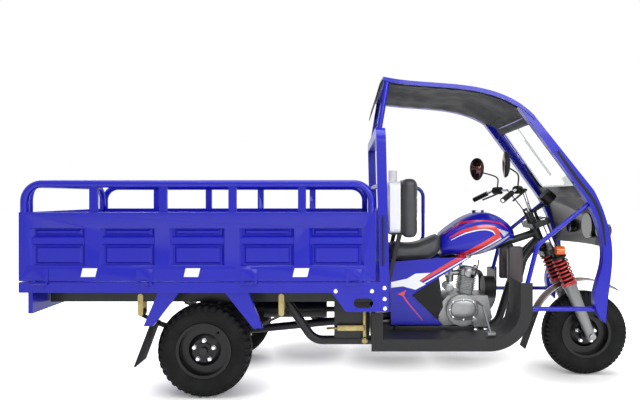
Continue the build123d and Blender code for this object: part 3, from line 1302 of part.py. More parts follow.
# Rear axle and springs
def rear_axle():
    """The axle housing with its differential, spring pads, brake plates and stub shafts."""
    half = REAR_TRACK / 2
    plate = half - REAR_HUB_HALF - MOVING_GAP
    tube = rod((REAR_AXLE_X, -plate, AXLE_Z), (REAR_AXLE_X, plate, AXLE_Z), AXLE_TUBE)
    bulge = Pos(REAR_AXLE_X, 0, AXLE_Z) * turned(
        [
            (0, -DIFFERENTIAL_WIDTH / 2),
            (AXLE_TUBE / 2, -DIFFERENTIAL_WIDTH / 2),
            (DIFFERENTIAL_DIAMETER / 2, -DIFFERENTIAL_WIDTH / 6),
            (DIFFERENTIAL_DIAMETER / 2, DIFFERENTIAL_WIDTH / 6),
            (AXLE_TUBE / 2, DIFFERENTIAL_WIDTH / 2),
            (0, DIFFERENTIAL_WIDTH / 2),
        ]
    )
    nose = rod((REAR_AXLE_X, 0, PINION_Z), (PINION_X, 0, PINION_Z), PINION_DIAMETER)
    axle = tube + bulge + nose
    side = rod((REAR_AXLE_X, plate - BRAKE_PLATE, AXLE_Z), (REAR_AXLE_X, plate, AXLE_Z), BRAKE_DRUM_DIAMETER)
    outer = half + REAR_HUB_HALF + MOVING_GAP
    side += rod((REAR_AXLE_X, 0, AXLE_Z), (REAR_AXLE_X, outer + AXLE_NUT, AXLE_Z), REAR_STUB_DIAMETER)
    side += rod((REAR_AXLE_X, outer, AXLE_Z), (REAR_AXLE_X, outer + AXLE_NUT, AXLE_Z), REAR_NUT_DIAMETER)
    pad_x = (REAR_AXLE_X - SPRING_PAD / 2, REAR_AXLE_X + SPRING_PAD / 2)
    pad_y = (RAIL_Y - LEAF_WIDTH / 2, RAIL_Y + LEAF_WIDTH / 2)
    side += block(pad_x, pad_y, (AXLE_Z, LEAF_BOTTOM_Z - SEAT_GAP))
    return axle + side + mirror(side, about=Plane.XZ)


def leaf_point(radius, angle, y):
    """A point on a spring leaf, by its angle from the lowest place."""
    return (LEAF_MIDDLE_X + radius * sin(angle), y, LEAF_CENTRE_Z - radius * cos(angle))


def leaf(index):
    """One leaf of a spring: a flat bent bar, shorter than the leaf above it."""
    y = RAIL_Y - LEAF_WIDTH / 2
    inner = LEAF_RADIUS + (index - 0.5) * LEAF_THICKNESS
    outer = inner + LEAF_THICKNESS
    turn = LEAF_HALF_ANGLE * (1 - index * LEAF_STEP)
    outline = ThreePointArc(leaf_point(inner, -turn, y), leaf_point(inner, 0, y), leaf_point(inner, turn, y))
    outline += Line(leaf_point(inner, turn, y), leaf_point(outer, turn, y))
    outline += ThreePointArc(leaf_point(outer, turn, y), leaf_point(outer, 0, y), leaf_point(outer, -turn, y))
    outline += Line(leaf_point(outer, -turn, y), leaf_point(inner, -turn, y))
    return extrude(make_face(outline), amount=LEAF_WIDTH, dir=(0, 1, 0))


def leaf_springs():
    """The two leaf springs, with an eye at each end."""
    spring = leaf(0)
    for index in range(1, LEAF_COUNT):
        spring += leaf(index)
    low = RAIL_Y - LEAF_WIDTH / 2
    high = RAIL_Y + LEAF_WIDTH / 2
    for x in (LEAF_FRONT_X, LEAF_REAR_X):
        spring += rod((x, low, LEAF_EYE_Z), (x, high, LEAF_EYE_Z), LEAF_EYE_DIAMETER)
    for x in (LEAF_FRONT_X, LEAF_REAR_X):
        spring -= rod((x, low, LEAF_EYE_Z), (x, high, LEAF_EYE_Z), LEAF_PIN + 2 * SEAT_GAP)
    return both_sides(spring)


def spring_shackles():
    """The plates and pins that hang each spring from its rail, at the front and at the rear."""
    inner = RAIL_WIDTH / 2 + SEAT_GAP
    outer = inner + SHACKLE_PLATE
    top_z = LEAF_EYE_Z + SHACKLE_LENGTH
    shackles = []
    for x in (LEAF_FRONT_X, LEAF_REAR_X):
        plate_face = Plane.XZ * Pos(x, LEAF_EYE_Z + SHACKLE_LENGTH / 2) * Rot(0, 0, 90)
        outline = plate_face * SlotCenterToCenter(SHACKLE_LENGTH, SHACKLE_WIDTH)
        shackle = rod((x, RAIL_Y - outer, LEAF_EYE_Z), (x, RAIL_Y + outer, LEAF_EYE_Z), LEAF_PIN)
        shackle += rod((x, RAIL_Y - outer, top_z), (x, RAIL_Y + outer, top_z), LEAF_PIN)
        for low in (RAIL_Y - outer, RAIL_Y + inner):
            shackle += Pos(0, low, 0) * extrude(outline, amount=SHACKLE_PLATE, dir=(0, 1, 0))
        shackles.append(shackle)
    left = shackles[0] + shackles[1]
    return both_sides(left)


def shackle_holes():
    """The holes through the rails for the shackles' upper pins."""
    holes = []
    for x in (LEAF_FRONT_X, LEAF_REAR_X):
        z = LEAF_EYE_Z + SHACKLE_LENGTH
        holes.append(rod((x, -BED_HALF_WIDTH, z), (x, BED_HALF_WIDTH, z), LEAF_PIN + 2 * SEAT_GAP))
    return holes


def drive_shaft():
    """The drive shaft from the gearbox to the differential, with its joint at each end."""
    start = (ENGINE_REAR_X - SEAT_GAP, 0, DRIVE_Z)
    end = (PINION_X + SEAT_GAP, 0, PINION_Z)
    shaft = rod(start, end, DRIVE_SHAFT_DIAMETER)
    shaft += rod(start, along(start, end, DRIVE_JOINT_LENGTH), DRIVE_JOINT_DIAMETER)
    shaft += rod(end, along(end, start, DRIVE_JOINT_LENGTH), DRIVE_JOINT_DIAMETER)
    room_x = (PINION_X + SEAT_GAP, ENGINE_REAR_X - SEAT_GAP)
    room = block(room_x, (-DRIVE_JOINT_DIAMETER, DRIVE_JOINT_DIAMETER), (0, BED_BOTTOM_Z))
    return shaft & room


# Fender stays, mud flaps and tail board
def fender_stays():
    """The stamped stays before and behind each rear wheel, under the bed's edge."""
    inner = STAY_OUTER_Y - STAY_WIDTH
    stays = slab(REAR_STAY, inner, STAY_OUTER_Y) + slab(FRONT_STAY, inner, STAY_OUTER_Y)
    return both_sides(stays)


def mud_flaps():
    """The rubber flaps below the rear stays."""
    top = REAR_STAY[2][1] - SEAT_GAP
    left = REAR_STAY[2][0]
    outline = [
        (left - MUD_FLAP_SHEET, top),
        (left - 2 * MUD_FLAP_SHEET, top),
        (MUD_FLAP_FOOT_X, MUD_FLAP_BOTTOM_Z),
        (MUD_FLAP_FOOT_X + MUD_FLAP_SHEET, MUD_FLAP_BOTTOM_Z),
    ]
    return both_sides(slab(outline, MUD_FLAP_INNER_Y, STAY_OUTER_Y))


def tail_board():
    """The tail lamp board under the bed's rear."""
    board_x = (TAIL_BOARD_REAR_X, TAIL_BOARD_REAR_X + TAIL_BOARD_SHEET)
    half = TAIL_BOARD_HALF_WIDTH
    return block(board_x, (-half, half), (TAIL_BOARD_BOTTOM_Z, BED_BOTTOM_Z))


def tail_lamps():
    """The two tail lamps on the board's rear face."""
    lamp_x = (TAIL_BOARD_REAR_X - TAIL_LAMP_DEPTH, TAIL_BOARD_REAR_X)
    lamp_y = (TAIL_LAMP_Y - TAIL_LAMP_WIDTH / 2, TAIL_LAMP_Y + TAIL_LAMP_WIDTH / 2)
    middle = (TAIL_BOARD_BOTTOM_Z + BED_BOTTOM_Z) / 2
    lamp = block(lamp_x, lamp_y, (middle - TAIL_LAMP_HEIGHT / 2, middle + TAIL_LAMP_HEIGHT / 2))
    return both_sides(lamp)


def main():
    """Build every sub-part and write it."""
    os.makedirs("parts", exist_ok=True)
    place_wheels()
    frame = chassis_frame()
    for hole in shackle_holes():
        frame -= hole
    write("chassis_frame", frame)
    write("bed_floor", bed_floor())
    write("headboard", headboard())
    write("bed_gussets", bed_gussets())
    write("side_latches", side_latches())
    left = side_left()
    write("side_left", left)
    write("side_right", mirror(left, about=Plane.XZ))
    write("tailgate", tailgate())
    boards = footboards()
    write("footboards", boards)
    case = engine_crankcase()
    write("engine_crankcase", case)
    cylinder = engine_cylinder(case)
    write("engine_cylinder", cylinder)
    write("cooling_fan", cooling_fan(case))
    write("exhaust", exhaust(cylinder))
    write("brake_pedal", brake_pedal())
    write("seat", seat())
    tank = fuel_tank()
    write("fuel_tank", tank)
    write("fuel_cap", fuel_cap() - tank)
    write("side_panels", side_panels())
    write("filter_covers", filter_covers())
    write("backrest", backrest())
    write("water_tank", water_tank())
    write("backrest_bracket", backrest_bracket())
    write("guard_rail", guard_rail())
    roof = roof_canopy()
    write("roof_canopy", roof)
    write("roof_posts", roof_posts(roof))
    cab = pillars(roof)
    write("cab_pillars", cab)
    write("windscreen", windscreen())
    write("wiper", wiper())
    write("fascia", fascia(headlamps(SEAT_GAP)))
    write("headlamps", headlamps(0))
    write("cab_braces", cab_braces(cab, boards))
    bar_room = handlebar(BAR_TUBE + 2 * SEAT_GAP)
    write("fork_yokes", fork_yokes(bar_room))
    write("fork_stanchions", fork_stanchions())
    write("fork_legs", fork_legs())
    write("fork_springs", fork_springs())
    write("front_axle", front_axle())
    write("front_fender", front_fender())
    write("front_flap", front_flap())
    write("handlebar", handlebar(BAR_TUBE))
    controls = bar_controls(bar_room)
    write("bar_controls", controls)
    write("mirrors", mirrors(controls))
    write("gauge", gauge())
    write("turn_signals", turn_signals())
    write("rear_axle", rear_axle())
    write("leaf_springs", leaf_springs())
    write("spring_shackles", spring_shackles())
    write("drive_shaft", drive_shaft())
    write("fender_stays", fender_stays())
    write("mud_flaps", mud_flaps())
    write("tail_board", tail_board())
    write("tail_lamps", tail_lamps())


main()
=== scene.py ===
import json
from math import cos, pi, radians, sin, tau

import bmesh
import bpy
from mathutils import Matrix, Vector
from mathutils.bvhtree import BVHTree


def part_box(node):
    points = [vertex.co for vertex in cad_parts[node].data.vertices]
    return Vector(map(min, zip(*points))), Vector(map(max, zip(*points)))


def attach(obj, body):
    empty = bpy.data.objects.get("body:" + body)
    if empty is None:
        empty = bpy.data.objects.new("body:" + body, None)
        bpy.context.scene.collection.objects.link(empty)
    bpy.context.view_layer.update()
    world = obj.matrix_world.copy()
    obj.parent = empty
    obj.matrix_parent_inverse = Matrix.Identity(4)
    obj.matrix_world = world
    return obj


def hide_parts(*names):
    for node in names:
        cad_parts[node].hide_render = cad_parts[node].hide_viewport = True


# Looks of the cargo tricycle, in metres: +X forward, +Y left, +Z up.

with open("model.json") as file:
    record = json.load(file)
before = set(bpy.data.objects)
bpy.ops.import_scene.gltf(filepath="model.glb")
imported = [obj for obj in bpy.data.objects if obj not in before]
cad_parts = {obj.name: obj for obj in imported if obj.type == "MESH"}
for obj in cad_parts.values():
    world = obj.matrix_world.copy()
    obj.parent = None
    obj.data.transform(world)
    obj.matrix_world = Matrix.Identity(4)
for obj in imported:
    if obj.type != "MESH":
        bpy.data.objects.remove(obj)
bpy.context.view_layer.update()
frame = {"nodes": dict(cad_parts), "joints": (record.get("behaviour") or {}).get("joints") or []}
nodes = frame["nodes"]

# Camera, as in the photo: square to the right-hand side
CAMERA_PLACE = (0.0, -4.03, 1.192)
CAMERA_SENSOR = 36.0
CAMERA_LENS = 33.47
CAMERA_SHIFT = (-0.0375, -0.0047)

# Colours, as sRGB shares
BLUE = (0.065, 0.075, 0.64)
BLACK = (0.085, 0.085, 0.09)
PITCH = (0.03, 0.03, 0.032)
COAL = (0.13, 0.13, 0.135)
RUBBER = (0.055, 0.056, 0.057)
ALLOY = (0.54, 0.545, 0.55)
FORK_GREY = (0.5, 0.505, 0.51)
CHROME = (0.85, 0.85, 0.87)
ZINC = (0.62, 0.56, 0.38)
SIGNAL_RED = (0.8, 0.1, 0.1)
VINYL = (0.2, 0.205, 0.215)
WHITE = (0.92, 0.925, 0.93)
SILVER = (0.72, 0.74, 0.77)
BROWN_GREY = (0.23, 0.2, 0.21)
LINING_GREY = (0.13, 0.135, 0.13)
GLASS_TINT = (0.96, 0.985, 0.98)
AMBER = (0.95, 0.42, 0.05)
LENS_RED = (0.6, 0.03, 0.03)
LAMP_PALE = (0.85, 0.87, 0.88)
MIRROR_BROWN = (0.3, 0.2, 0.2)
FLOOR_WHITE = (0.97, 0.97, 0.97)

# Finishes
NOISE_RANGE = (0.3, 0.7)  # the part of a noise that a colour or a roughness follows
FINE_DETAIL = 2.0
GRAIN_DEPTH = 0.001
EDGE_RADIUS = 0.002
BEVEL_SAMPLES = 4
COAT_ROUGH = 0.06
FACING = (0.1, 0.2)  # from a back to a front, by how far a face looks forward


def linear(color):
    """An sRGB colour as the linear values that a shader takes."""
    steps = [c / 12.92 if c <= 0.04045 else ((c + 0.055) / 1.055) ** 2.4 for c in color]
    return (*steps, 1.0)


# Materials
def feed(tree, node, inputs):
    """Set a node's inputs to values, or link them to other nodes' outputs."""
    for place, value in inputs.items():
        if isinstance(value, bpy.types.NodeSocket):
            tree.links.new(value, node.inputs[place])
        else:
            node.inputs[place].default_value = value


def add_node(tree, kind, inputs=None, **settings):
    """A shader node with its settings and its inputs."""
    node = tree.nodes.new("ShaderNode" + kind)
    for setting, value in settings.items():
        setattr(node, setting, value)
    feed(tree, node, inputs or {})
    return node


def new_material(name):
    """An empty node material with its output, shader and object coordinates."""
    material = bpy.data.materials.new(name)
    material.use_nodes = True
    tree = material.node_tree
    tree.nodes.clear()
    shader = add_node(tree, "BsdfPrincipled")
    add_node(tree, "OutputMaterial", {"Surface": shader.outputs["BSDF"]})
    coords = add_node(tree, "TexCoord").outputs["Object"]
    return material, tree, shader, coords


def noise(tree, coords, scale, detail=4.0):
    """A noise texture's value over the object."""
    inputs = {"Vector": coords, "Scale": scale, "Detail": detail}
    return add_node(tree, "TexNoise", inputs).outputs["Fac"]


def shade(color, share):
    """A linear colour made lighter or darker."""
    return (*[min(1.0, c * share) for c in linear(color)[:3]], 1.0)


def tint(tree, value, color, low, high):
    """A colour that runs from a darker to a lighter shade with a value."""
    ramp = add_node(tree, "ValToRGB", {"Fac": value})
    ramp.color_ramp.interpolation = "EASE"
    for stop, position, share in zip(ramp.color_ramp.elements, NOISE_RANGE, (low, high)):
        stop.position = position
        stop.color = shade(color, share)
    return ramp.outputs["Color"]


def ranged(tree, value, before, after, shape="SMOOTHSTEP"):
    """A value taken from one range to another."""
    inputs = dict(zip(("From Min", "From Max", "To Min", "To Max"), (*before, *after)))
    inputs["Value"] = value
    return add_node(tree, "MapRange", inputs, interpolation_type=shape).outputs["Result"]


def bump(tree, height, strength, edge=0.0):
    """A normal raised by a height, over edges rounded by a radius."""
    inputs = {"Strength": strength, "Distance": GRAIN_DEPTH, "Height": height}
    if edge:
        bevel = add_node(tree, "Bevel", {"Radius": edge}, samples=BEVEL_SAMPLES)
        inputs["Normal"] = bevel.outputs["Normal"]
    return add_node(tree, "Bump", inputs).outputs["Normal"]


def set_finish(tree, shader, color, rough, normal, **others):
    """Give a shader its colour, roughness and normal, and what else it has."""
    feed(tree, shader, {"Base Color": color, "Roughness": rough, "Normal": normal})
    feed(tree, shader, {name.replace("_", " "): value for name, value in others.items()})


def surface(
    name,
    color,
    rough,
    metal=0.0,
    coat=0.0,
    mottle=0.06,
    patch=6.0,
    grain=(400.0, 0.05),
    edge=EDGE_RADIUS,
    shine=0.5,
):
    """A finish with its patchiness, sheen changes and grain."""
    material, tree, shader, coords = new_material(name)
    cloud = noise(tree, coords, patch)
    set_finish(
        tree,
        shader,
        tint(tree, cloud, color, 1 - mottle, 1 + mottle),
        ranged(tree, cloud, NOISE_RANGE, (rough * 0.85, rough * 1.15)),
        bump(tree, noise(tree, coords, grain[0], FINE_DETAIL), grain[1], edge),
        Metallic=metal,
        Specular_IOR_Level=shine,
        Coat_Weight=coat,
        Coat_Roughness=COAT_ROUGH,
    )
    return material


def two_sided(name, front, back, rough):
    """Gloss on the faces that look forward, in one colour, and another colour on those that look back."""
    material, tree, shader, coords = new_material(name)
    normal = add_node(tree, "NewGeometry").outputs["True Normal"]
    ahead = add_node(tree, "SeparateXYZ", {"Vector": normal}).outputs["X"]
    inputs = {"Factor": ranged(tree, ahead, FACING, (0.0, 1.0), "LINEAR")}
    for place, color in (("A", back), ("B", front)):
        inputs[place] = tint(tree, noise(tree, coords, 5.0), color, 0.93, 1.07)
    mix = add_node(tree, "Mix", inputs, data_type="RGBA")
    fine = noise(tree, coords, 300.0)
    roughness = ranged(tree, fine, NOISE_RANGE, (rough * 0.9, rough * 1.1))
    normal = bump(tree, fine, 0.02, EDGE_RADIUS)
    set_finish(tree, shader, mix.outputs["Result"], roughness, normal, Coat_Weight=0.4)
    return material


def leather_grain(name, color, rough):
    """Grained vinyl: pebbles from cell edges over a soft cloud of wear."""
    material, tree, shader, coords = new_material(name)
    cloud = noise(tree, coords, 9.0)
    cells = add_node(tree, "TexVoronoi", {"Vector": coords, "Scale": 420.0}, feature="DISTANCE_TO_EDGE")
    roughness = ranged(tree, cloud, NOISE_RANGE, (rough * 0.8, rough * 1.2))
    normal = bump(tree, cells.outputs["Distance"], 0.25)
    set_finish(tree, shader, tint(tree, cloud, color, 0.85, 1.2), roughness, normal, Sheen_Weight=0.15)
    return material


def clear(name, color, rough):
    """Glass with a faint ripple."""
    material, tree, shader, coords = new_material(name)
    cloud = noise(tree, coords, 30.0)
    roughness = ranged(tree, cloud, NOISE_RANGE, (rough, rough * 1.3))
    normal = bump(tree, cloud, 0.02)
    color = tint(tree, cloud, color, 0.97, 1.0)
    set_finish(tree, shader, color, roughness, normal, Transmission_Weight=1.0, IOR=1.45)
    return material


def lens(name, color):
    """A moulded lamp lens with fine prisms."""
    material, tree, shader, coords = new_material(name)
    cloud = noise(tree, coords, 25.0)
    prisms = add_node(tree, "TexWave", {"Vector": coords, "Scale": 60.0}).outputs["Fac"]
    roughness = ranged(tree, cloud, NOISE_RANGE, (0.1, 0.2))
    color = tint(tree, cloud, color, 0.9, 1.1)
    set_finish(tree, shader, color, roughness, bump(tree, prisms, 0.2), Coat_Weight=0.6, Transmission_Weight=0.08)
    return material


PAINT = {
    "blue": surface(
        "blue_gloss", BLUE, 0.34, coat=0.15, mottle=0.03, patch=1.2, grain=(70.0, 0.004), edge=0.0025, shine=0.3
    ),
    "fascia": two_sided("fascia_paint", BLUE, PITCH, 0.34),
    "black": surface("black_satin", BLACK, 0.42, coat=0.05, mottle=0.2, grain=(300.0, 0.06), shine=0.3),
    "footboard": surface("footboard_coat", COAL, 0.5, mottle=0.1, grain=(500.0, 0.12), shine=0.25),
    "rim": surface("rim_black", PITCH, 0.34, coat=0.05, mottle=0.15, shine=0.25),
    "tyre": surface(
        "tyre_rubber", RUBBER, 0.7, mottle=0.15, patch=12.0, grain=(700.0, 0.15), edge=0.0, shine=0.18
    ),
    "rubber": surface("moulded_rubber", RUBBER, 0.65, mottle=0.12, grain=(600.0, 0.12), edge=0.0, shine=0.2),
    "alloy": surface("cast_alloy", ALLOY, 0.38, metal=0.85, mottle=0.1, patch=14.0, grain=(900.0, 0.18)),
    "fork": surface("fork_alloy", FORK_GREY, 0.4, metal=0.5, mottle=0.06, grain=(600.0, 0.08)),
    "chrome": surface("bright_chrome", CHROME, 0.1, metal=1.0, mottle=0.04, grain=(200.0, 0.01)),
    "zinc": surface("zinc_plate", ZINC, 0.4, metal=0.8, mottle=0.2, patch=25.0, grain=(500.0, 0.1)),
    "red": surface("red_paint", SIGNAL_RED, 0.3, coat=0.5, mottle=0.05),
    "vinyl": leather_grain("seat_vinyl", VINYL, 0.5),
    "white": surface("white_mould", WHITE, 0.35, coat=0.2, mottle=0.02, grain=(300.0, 0.05)),
    "plastic": surface("black_mould", PITCH, 0.5, mottle=0.1, grain=(900.0, 0.15), shine=0.25),
    "lining": surface("roof_lining", LINING_GREY, 0.85, mottle=0.15, grain=(1200.0, 0.3), edge=0.0),
    "silver": surface("silver_film", SILVER, 0.3, metal=0.4, mottle=0.03),
    "brown": surface("brown_grey_mould", BROWN_GREY, 0.5, mottle=0.06, grain=(700.0, 0.1)),
    "glass": clear("windscreen_glass", GLASS_TINT, 0.01),
    "amber": lens("amber_lens", AMBER),
    "red_lens": lens("red_lens", LENS_RED),
    "lamp": two_sided("lamp_glass", LAMP_PALE, PITCH, 0.12),
    "mirror": surface("mirror_glass", MIRROR_BROWN, 0.08, metal=0.8, mottle=0.05, grain=(80.0, 0.005)),
}

NODE_PAINT = {
    "blue": "bed_floor headboard bed_gussets side_left side_right tailgate fuel_tank side_panels guard_rail "
    "roof_canopy roof_posts cab_pillars cab_braces fender_stays tail_board",
    "fascia": "fascia",
    "black": "chassis_frame side_latches exhaust backrest_bracket rear_axle leaf_springs drive_shaft "
    "fork_yokes front_fender",
    "footboard": "footboards",
    "rim": "front_rim rear_rim_left rear_rim_right",
    "tyre": "front_tyre rear_tyre_left rear_tyre_right",
    "rubber": "mud_flaps front_flap bar_controls",
    "alloy": "engine_crankcase engine_cylinder front_axle",
    "fork": "fork_legs brake_pedal",
    "chrome": "fuel_cap fork_stanchions handlebar",
    "zinc": "spring_shackles",
    "red": "fork_springs",
    "vinyl": "seat backrest",
    "white": "water_tank",
    "plastic": "cooling_fan filter_covers wiper mirrors gauge",
    "glass": "windscreen",
    "amber": "turn_signals",
    "red_lens": "tail_lamps",
    "lamp": "headlamps",
}
for paint, names in NODE_PAINT.items():
    for name in names.split():
        nodes[name].data.materials.clear()
        nodes[name].data.materials.append(PAINT[paint])


# Mesh helpers
ENDS = {-1: "right", 1: "left"}  # sides of the vehicle, by the sign of y
HEX_REACH = 1.1547  # a hexagon's corners, by half its width
HEX_STEPS = ((0.2, 1.0), (0.9, 1.0), (1.0, 0.86))  # a bolt head's shares of height and of radius
WASHER_REACH = 0.62  # a washer's shares of the bolt head's width and height
WASHER_RISE = 0.22
WELD_DISTANCE = 1e-5
CASTING_SHARP = 40  # degrees between two faces that make an edge sharp
BLOCK_SHARP = 35
COIL_SHARP = 50


def placed(name, data):
    """A new object in the scene."""
    thing = bpy.data.objects.new(name, data)
    bpy.context.scene.collection.objects.link(thing)
    return thing


def made(name, mesh):
    """A new object in the scene from a bmesh, which is used up."""
    data = bpy.data.meshes.new(name)
    mesh.to_mesh(data)
    mesh.free()
    return placed(name, data)


def add_piece(name, mesh, paint, body, smooth=True, sharp=None):
    """A new piece from a bmesh, painted and riding on a body, with its edges over an angle sharp."""
    bmesh.ops.recalc_face_normals(mesh, faces=mesh.faces)
    piece = made(name, mesh)
    piece.data.materials.append(PAINT[paint])
    for face in piece.data.polygons:
        face.use_smooth = smooth
    if sharp is not None:
        piece.data.set_sharp_from_angle(angle=radians(sharp))
    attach(piece, body)
    return piece


def skin(mesh, rings, closed_rings=True, caps=True):
    """Faces between rings of points, one ring after another."""
    rows = [[mesh.verts.new(point) for point in ring] for ring in rings]
    count = len(rows[0])
    last = count if closed_rings else count - 1
    for low, high in zip(rows, rows[1:]):
        for index in range(last):
            after = (index + 1) % count
            mesh.faces.new((low[index], low[after], high[after], high[index]))
    if caps:
        mesh.faces.new(rows[0][::-1])
        mesh.faces.new(rows[-1])
    return rows


def circle(centre, across, up, radius, count=16):
    """Points round a centre, in the plane of two directions."""
    centre = Vector(centre)
    turns = [tau * index / count for index in range(count)]
    return [centre + (across * cos(turn) + up * sin(turn)) * radius for turn in turns]


def directions(axis):
    """Two directions square to an axis and to each other."""
    axis = Vector(axis).normalized()
    helper = Vector((0, 0, 1)) if abs(axis.z) < 0.9 else Vector((1, 0, 0))
    across = axis.cross(helper).normalized()
    return across, axis.cross(across)


def turned_on(mesh, centre, axis, outline, count=24):
    """A closed turned form about an axis: its outline is (distance along, radius) points."""
    axis = Vector(axis).normalized()
    across, up = directions(axis)
    rings = [circle(Vector(centre) + axis * step, across, up, radius, count) for step, radius in outline]
    skin(mesh, rings)


def hexagon(mesh, centre, axis, width, height):
    """A bolt head or nut with its washer and a chamfered top."""
    washer = width * WASHER_REACH
    turned_on(mesh, centre, axis, [(0, washer), (height * WASHER_RISE, washer)], 16)
    radius = width / 2 * HEX_REACH
    turned_on(mesh, centre, axis, [(height * rise, radius * reach) for rise, reach in HEX_STEPS], 6)


def tube_along(mesh, points, radius, count=10):
    """A round tube along a list of points."""
    points = [Vector(point) for point in points]
    across, up = directions(points[1] - points[0])
    rings = []
    for index, point in enumerate(points):
        before = points[max(index - 1, 0)]
        after = points[min(index + 1, len(points) - 1)]
        along = (after - before).normalized()
        across = (across - along * across.dot(along)).normalized()
        up = along.cross(across)
        rings.append(circle(point, across, up, radius, count))
    skin(mesh, rings)


def smooth_line(points, steps=8):
    """A smooth line through points, with even steps between them."""
    points = [Vector(point) for point in points]
    padded = [points[0] * 2 - points[1]] + points + [points[-1] * 2 - points[-2]]
    line = []
    for index in range(1, len(padded) - 2):
        a, b, c, d = padded[index - 1 : index + 3]
        for step in range(steps):
            t = step / steps
            bend = (2 * a - 5 * b + 4 * c - d) * t**2
            twist = (3 * b - a - 3 * c + d) * t**3
            line.append(0.5 * (2 * b + (c - a) * t + bend + twist))
    return line + [points[-1]]


def for_both_sides(make):
    """Run a maker for the right-hand side, -1, and for the left-hand side, 1."""
    for side in (-1, 1):
        make(side)


def rounded_block(mesh, low, high, radius, segments=3):
    """A box with rounded edges, from its low and high corners."""
    box = bmesh.ops.create_cube(mesh, size=1.0)
    size = Vector(high) - Vector(low)
    middle = (Vector(low) + Vector(high)) / 2
    bmesh.ops.scale(mesh, vec=size, verts=box["verts"])
    bmesh.ops.translate(mesh, vec=middle, verts=box["verts"])
    edges = list({edge for vert in box["verts"] for edge in vert.link_edges})
    bmesh.ops.bevel(mesh, geom=edges, offset=radius, segments=segments, affect="EDGES", profile=0.5)


# Films that lie on a painted panel
def surface_tree(names):
    """A search tree of several nodes' surfaces."""
    verts, faces = [], []
    for name in names:
        start = len(verts)
        data = nodes[name].data
        verts += [vert.co.copy() for vert in data.vertices]
        faces += [[start + index for index in face.vertices] for face in data.polygons]
    return BVHTree.FromPolygons(verts, faces)


FILM_LIFT = 0.0007
FILM_GRAIN = 0.012
FILM_CUTS = 6
FILM_DEPTH = 0.15  # where a film that misses its nodes looks for the nearest of them


def film(name, outlines, targets, side, paint, body="chassis"):
    """A thin film: side-view outlines of (x, z) points laid on the target nodes from one side."""
    tree = surface_tree(targets)
    mesh = bmesh.new()
    for outline in outlines:
        mesh.faces.new([mesh.verts.new((x, side, z)) for x, z in outline])
    bmesh.ops.triangulate(mesh, faces=mesh.faces[:])
    for _ in range(FILM_CUTS):
        long_edges = [edge for edge in mesh.edges if edge.calc_length() > FILM_GRAIN]
        if not long_edges:
            break
        bmesh.ops.subdivide_edges(mesh, edges=long_edges, cuts=1)
        bmesh.ops.triangulate(mesh, faces=[face for face in mesh.faces if len(face.verts) > 3])
    for vert in mesh.verts:
        hit, normal, _, _ = tree.ray_cast(vert.co, Vector((0, -side, 0)))
        if hit is None:
            hit, normal, _, _ = tree.find_nearest(Vector((vert.co.x, FILM_DEPTH * side, vert.co.z)))
        if normal.y * side < 0:
            normal = -normal
        vert.co = hit + normal * FILM_LIFT
    return add_piece(name, mesh, paint, body)


def band(points, widths):
    """The outline of a band along a smooth line, its width changing from point to point."""
    line = smooth_line([(x, 0, z) for x, z in points])
    steps = (len(line) - 1) / (len(widths) - 1)
    left, right = [], []
    for index, point in enumerate(line):
        place = index / steps
        low = min(int(place), len(widths) - 2)
        width = widths[low] + (widths[low + 1] - widths[low]) * (place - low)
        along = (line[min(index + 1, len(line) - 1)] - line[max(index - 1, 0)]).normalized()
        across = Vector((-along.z, 0, along.x)) * width / 2
        left.append(((point + across).x, (point + across).z))
        right.append(((point - across).x, (point - across).z))
    return left + right[::-1]


def strips(outline):
    """A band's outline cut into four-cornered pieces, which triangulate cleanly."""
    count = len(outline)
    return [
        [outline[index], outline[index + 1], outline[count - 2 - index], outline[count - 1 - index]]
        for index in range(count // 2 - 1)
    ]


# Wheels: centre, outer radius and width come from the tyre nodes
TYRE_SEGMENTS = 120
TYRE_SHARP = 35
TREAD_SHARE = 0.84
TREAD_HALF = 0.05
CROWN_DROP = 0.012
CROWN_SHARES = (0, 0.25, 0.5, 0.75, 1)
SHOULDER_SHARE = 0.99
WALL_STEPS = 12
WALL_RIDGES = (4, 8, 11)
RIDGE_HEIGHT = 0.0012
BEAD_RADIUS = 0.1525
BEAD_EDGE = 0.001
BEAD_HALF = 0.048
LIP_HEIGHT = 0.0123
GROOVE_REACH = 0.05
GROOVE_INWARD = 0.35
LUG_DEPTH = 0.010
LUG_ROOT = 0.002
LUG_LEAN = 0.25
LUG_SLOPE = 0.15
LUG_POINTS = slice(2, 8)  # the points of a tyre's outside that a lug covers
RIB_HALVES = (0.0095, 0.008)  # half a rib's width at its foot and at its top
RIB_SINK = 0.0005
REAR_RIBS = ((-0.013, 0.004), (0.013, 0.004))
FRONT_RIBS = ((-0.016, 0.002), (0.016, 0.002), (0.0, 0.002))
TYRES = (  # node, body, lug count, a lug's share of its pitch, and the ribs' places and waves
    ("rear_tyre_left", "rear_wheel_left", 38, 0.56, REAR_RIBS),
    ("rear_tyre_right", "rear_wheel_right", 38, 0.56, REAR_RIBS),
    ("front_tyre", "front_wheel", 56, 0.74, FRONT_RIBS),
)


def tyre_half(width, radius):
    """The outside of a tyre from its middle to its rim: (radius, distance across) points."""
    tread = width * TREAD_SHARE / 2
    shoulder = radius - CROWN_DROP
    lip = BEAD_RADIUS + LIP_HEIGHT
    crown = [(radius - CROWN_DROP * (share**2), tread * share) for share in CROWN_SHARES]
    wall = []
    for step in range(1, WALL_STEPS + 1):
        share = step / WALL_STEPS
        bulge = sin(pi * share) * (width / 2 - (tread + BEAD_HALF) / 2)
        ridge = RIDGE_HEIGHT if step in WALL_RIDGES else 0.0
        across = tread + (BEAD_HALF - tread) * share + bulge + ridge
        wall.append((shoulder + (lip - shoulder) * share, across))
    return crown + wall + [(BEAD_RADIUS + BEAD_EDGE, BEAD_HALF)]


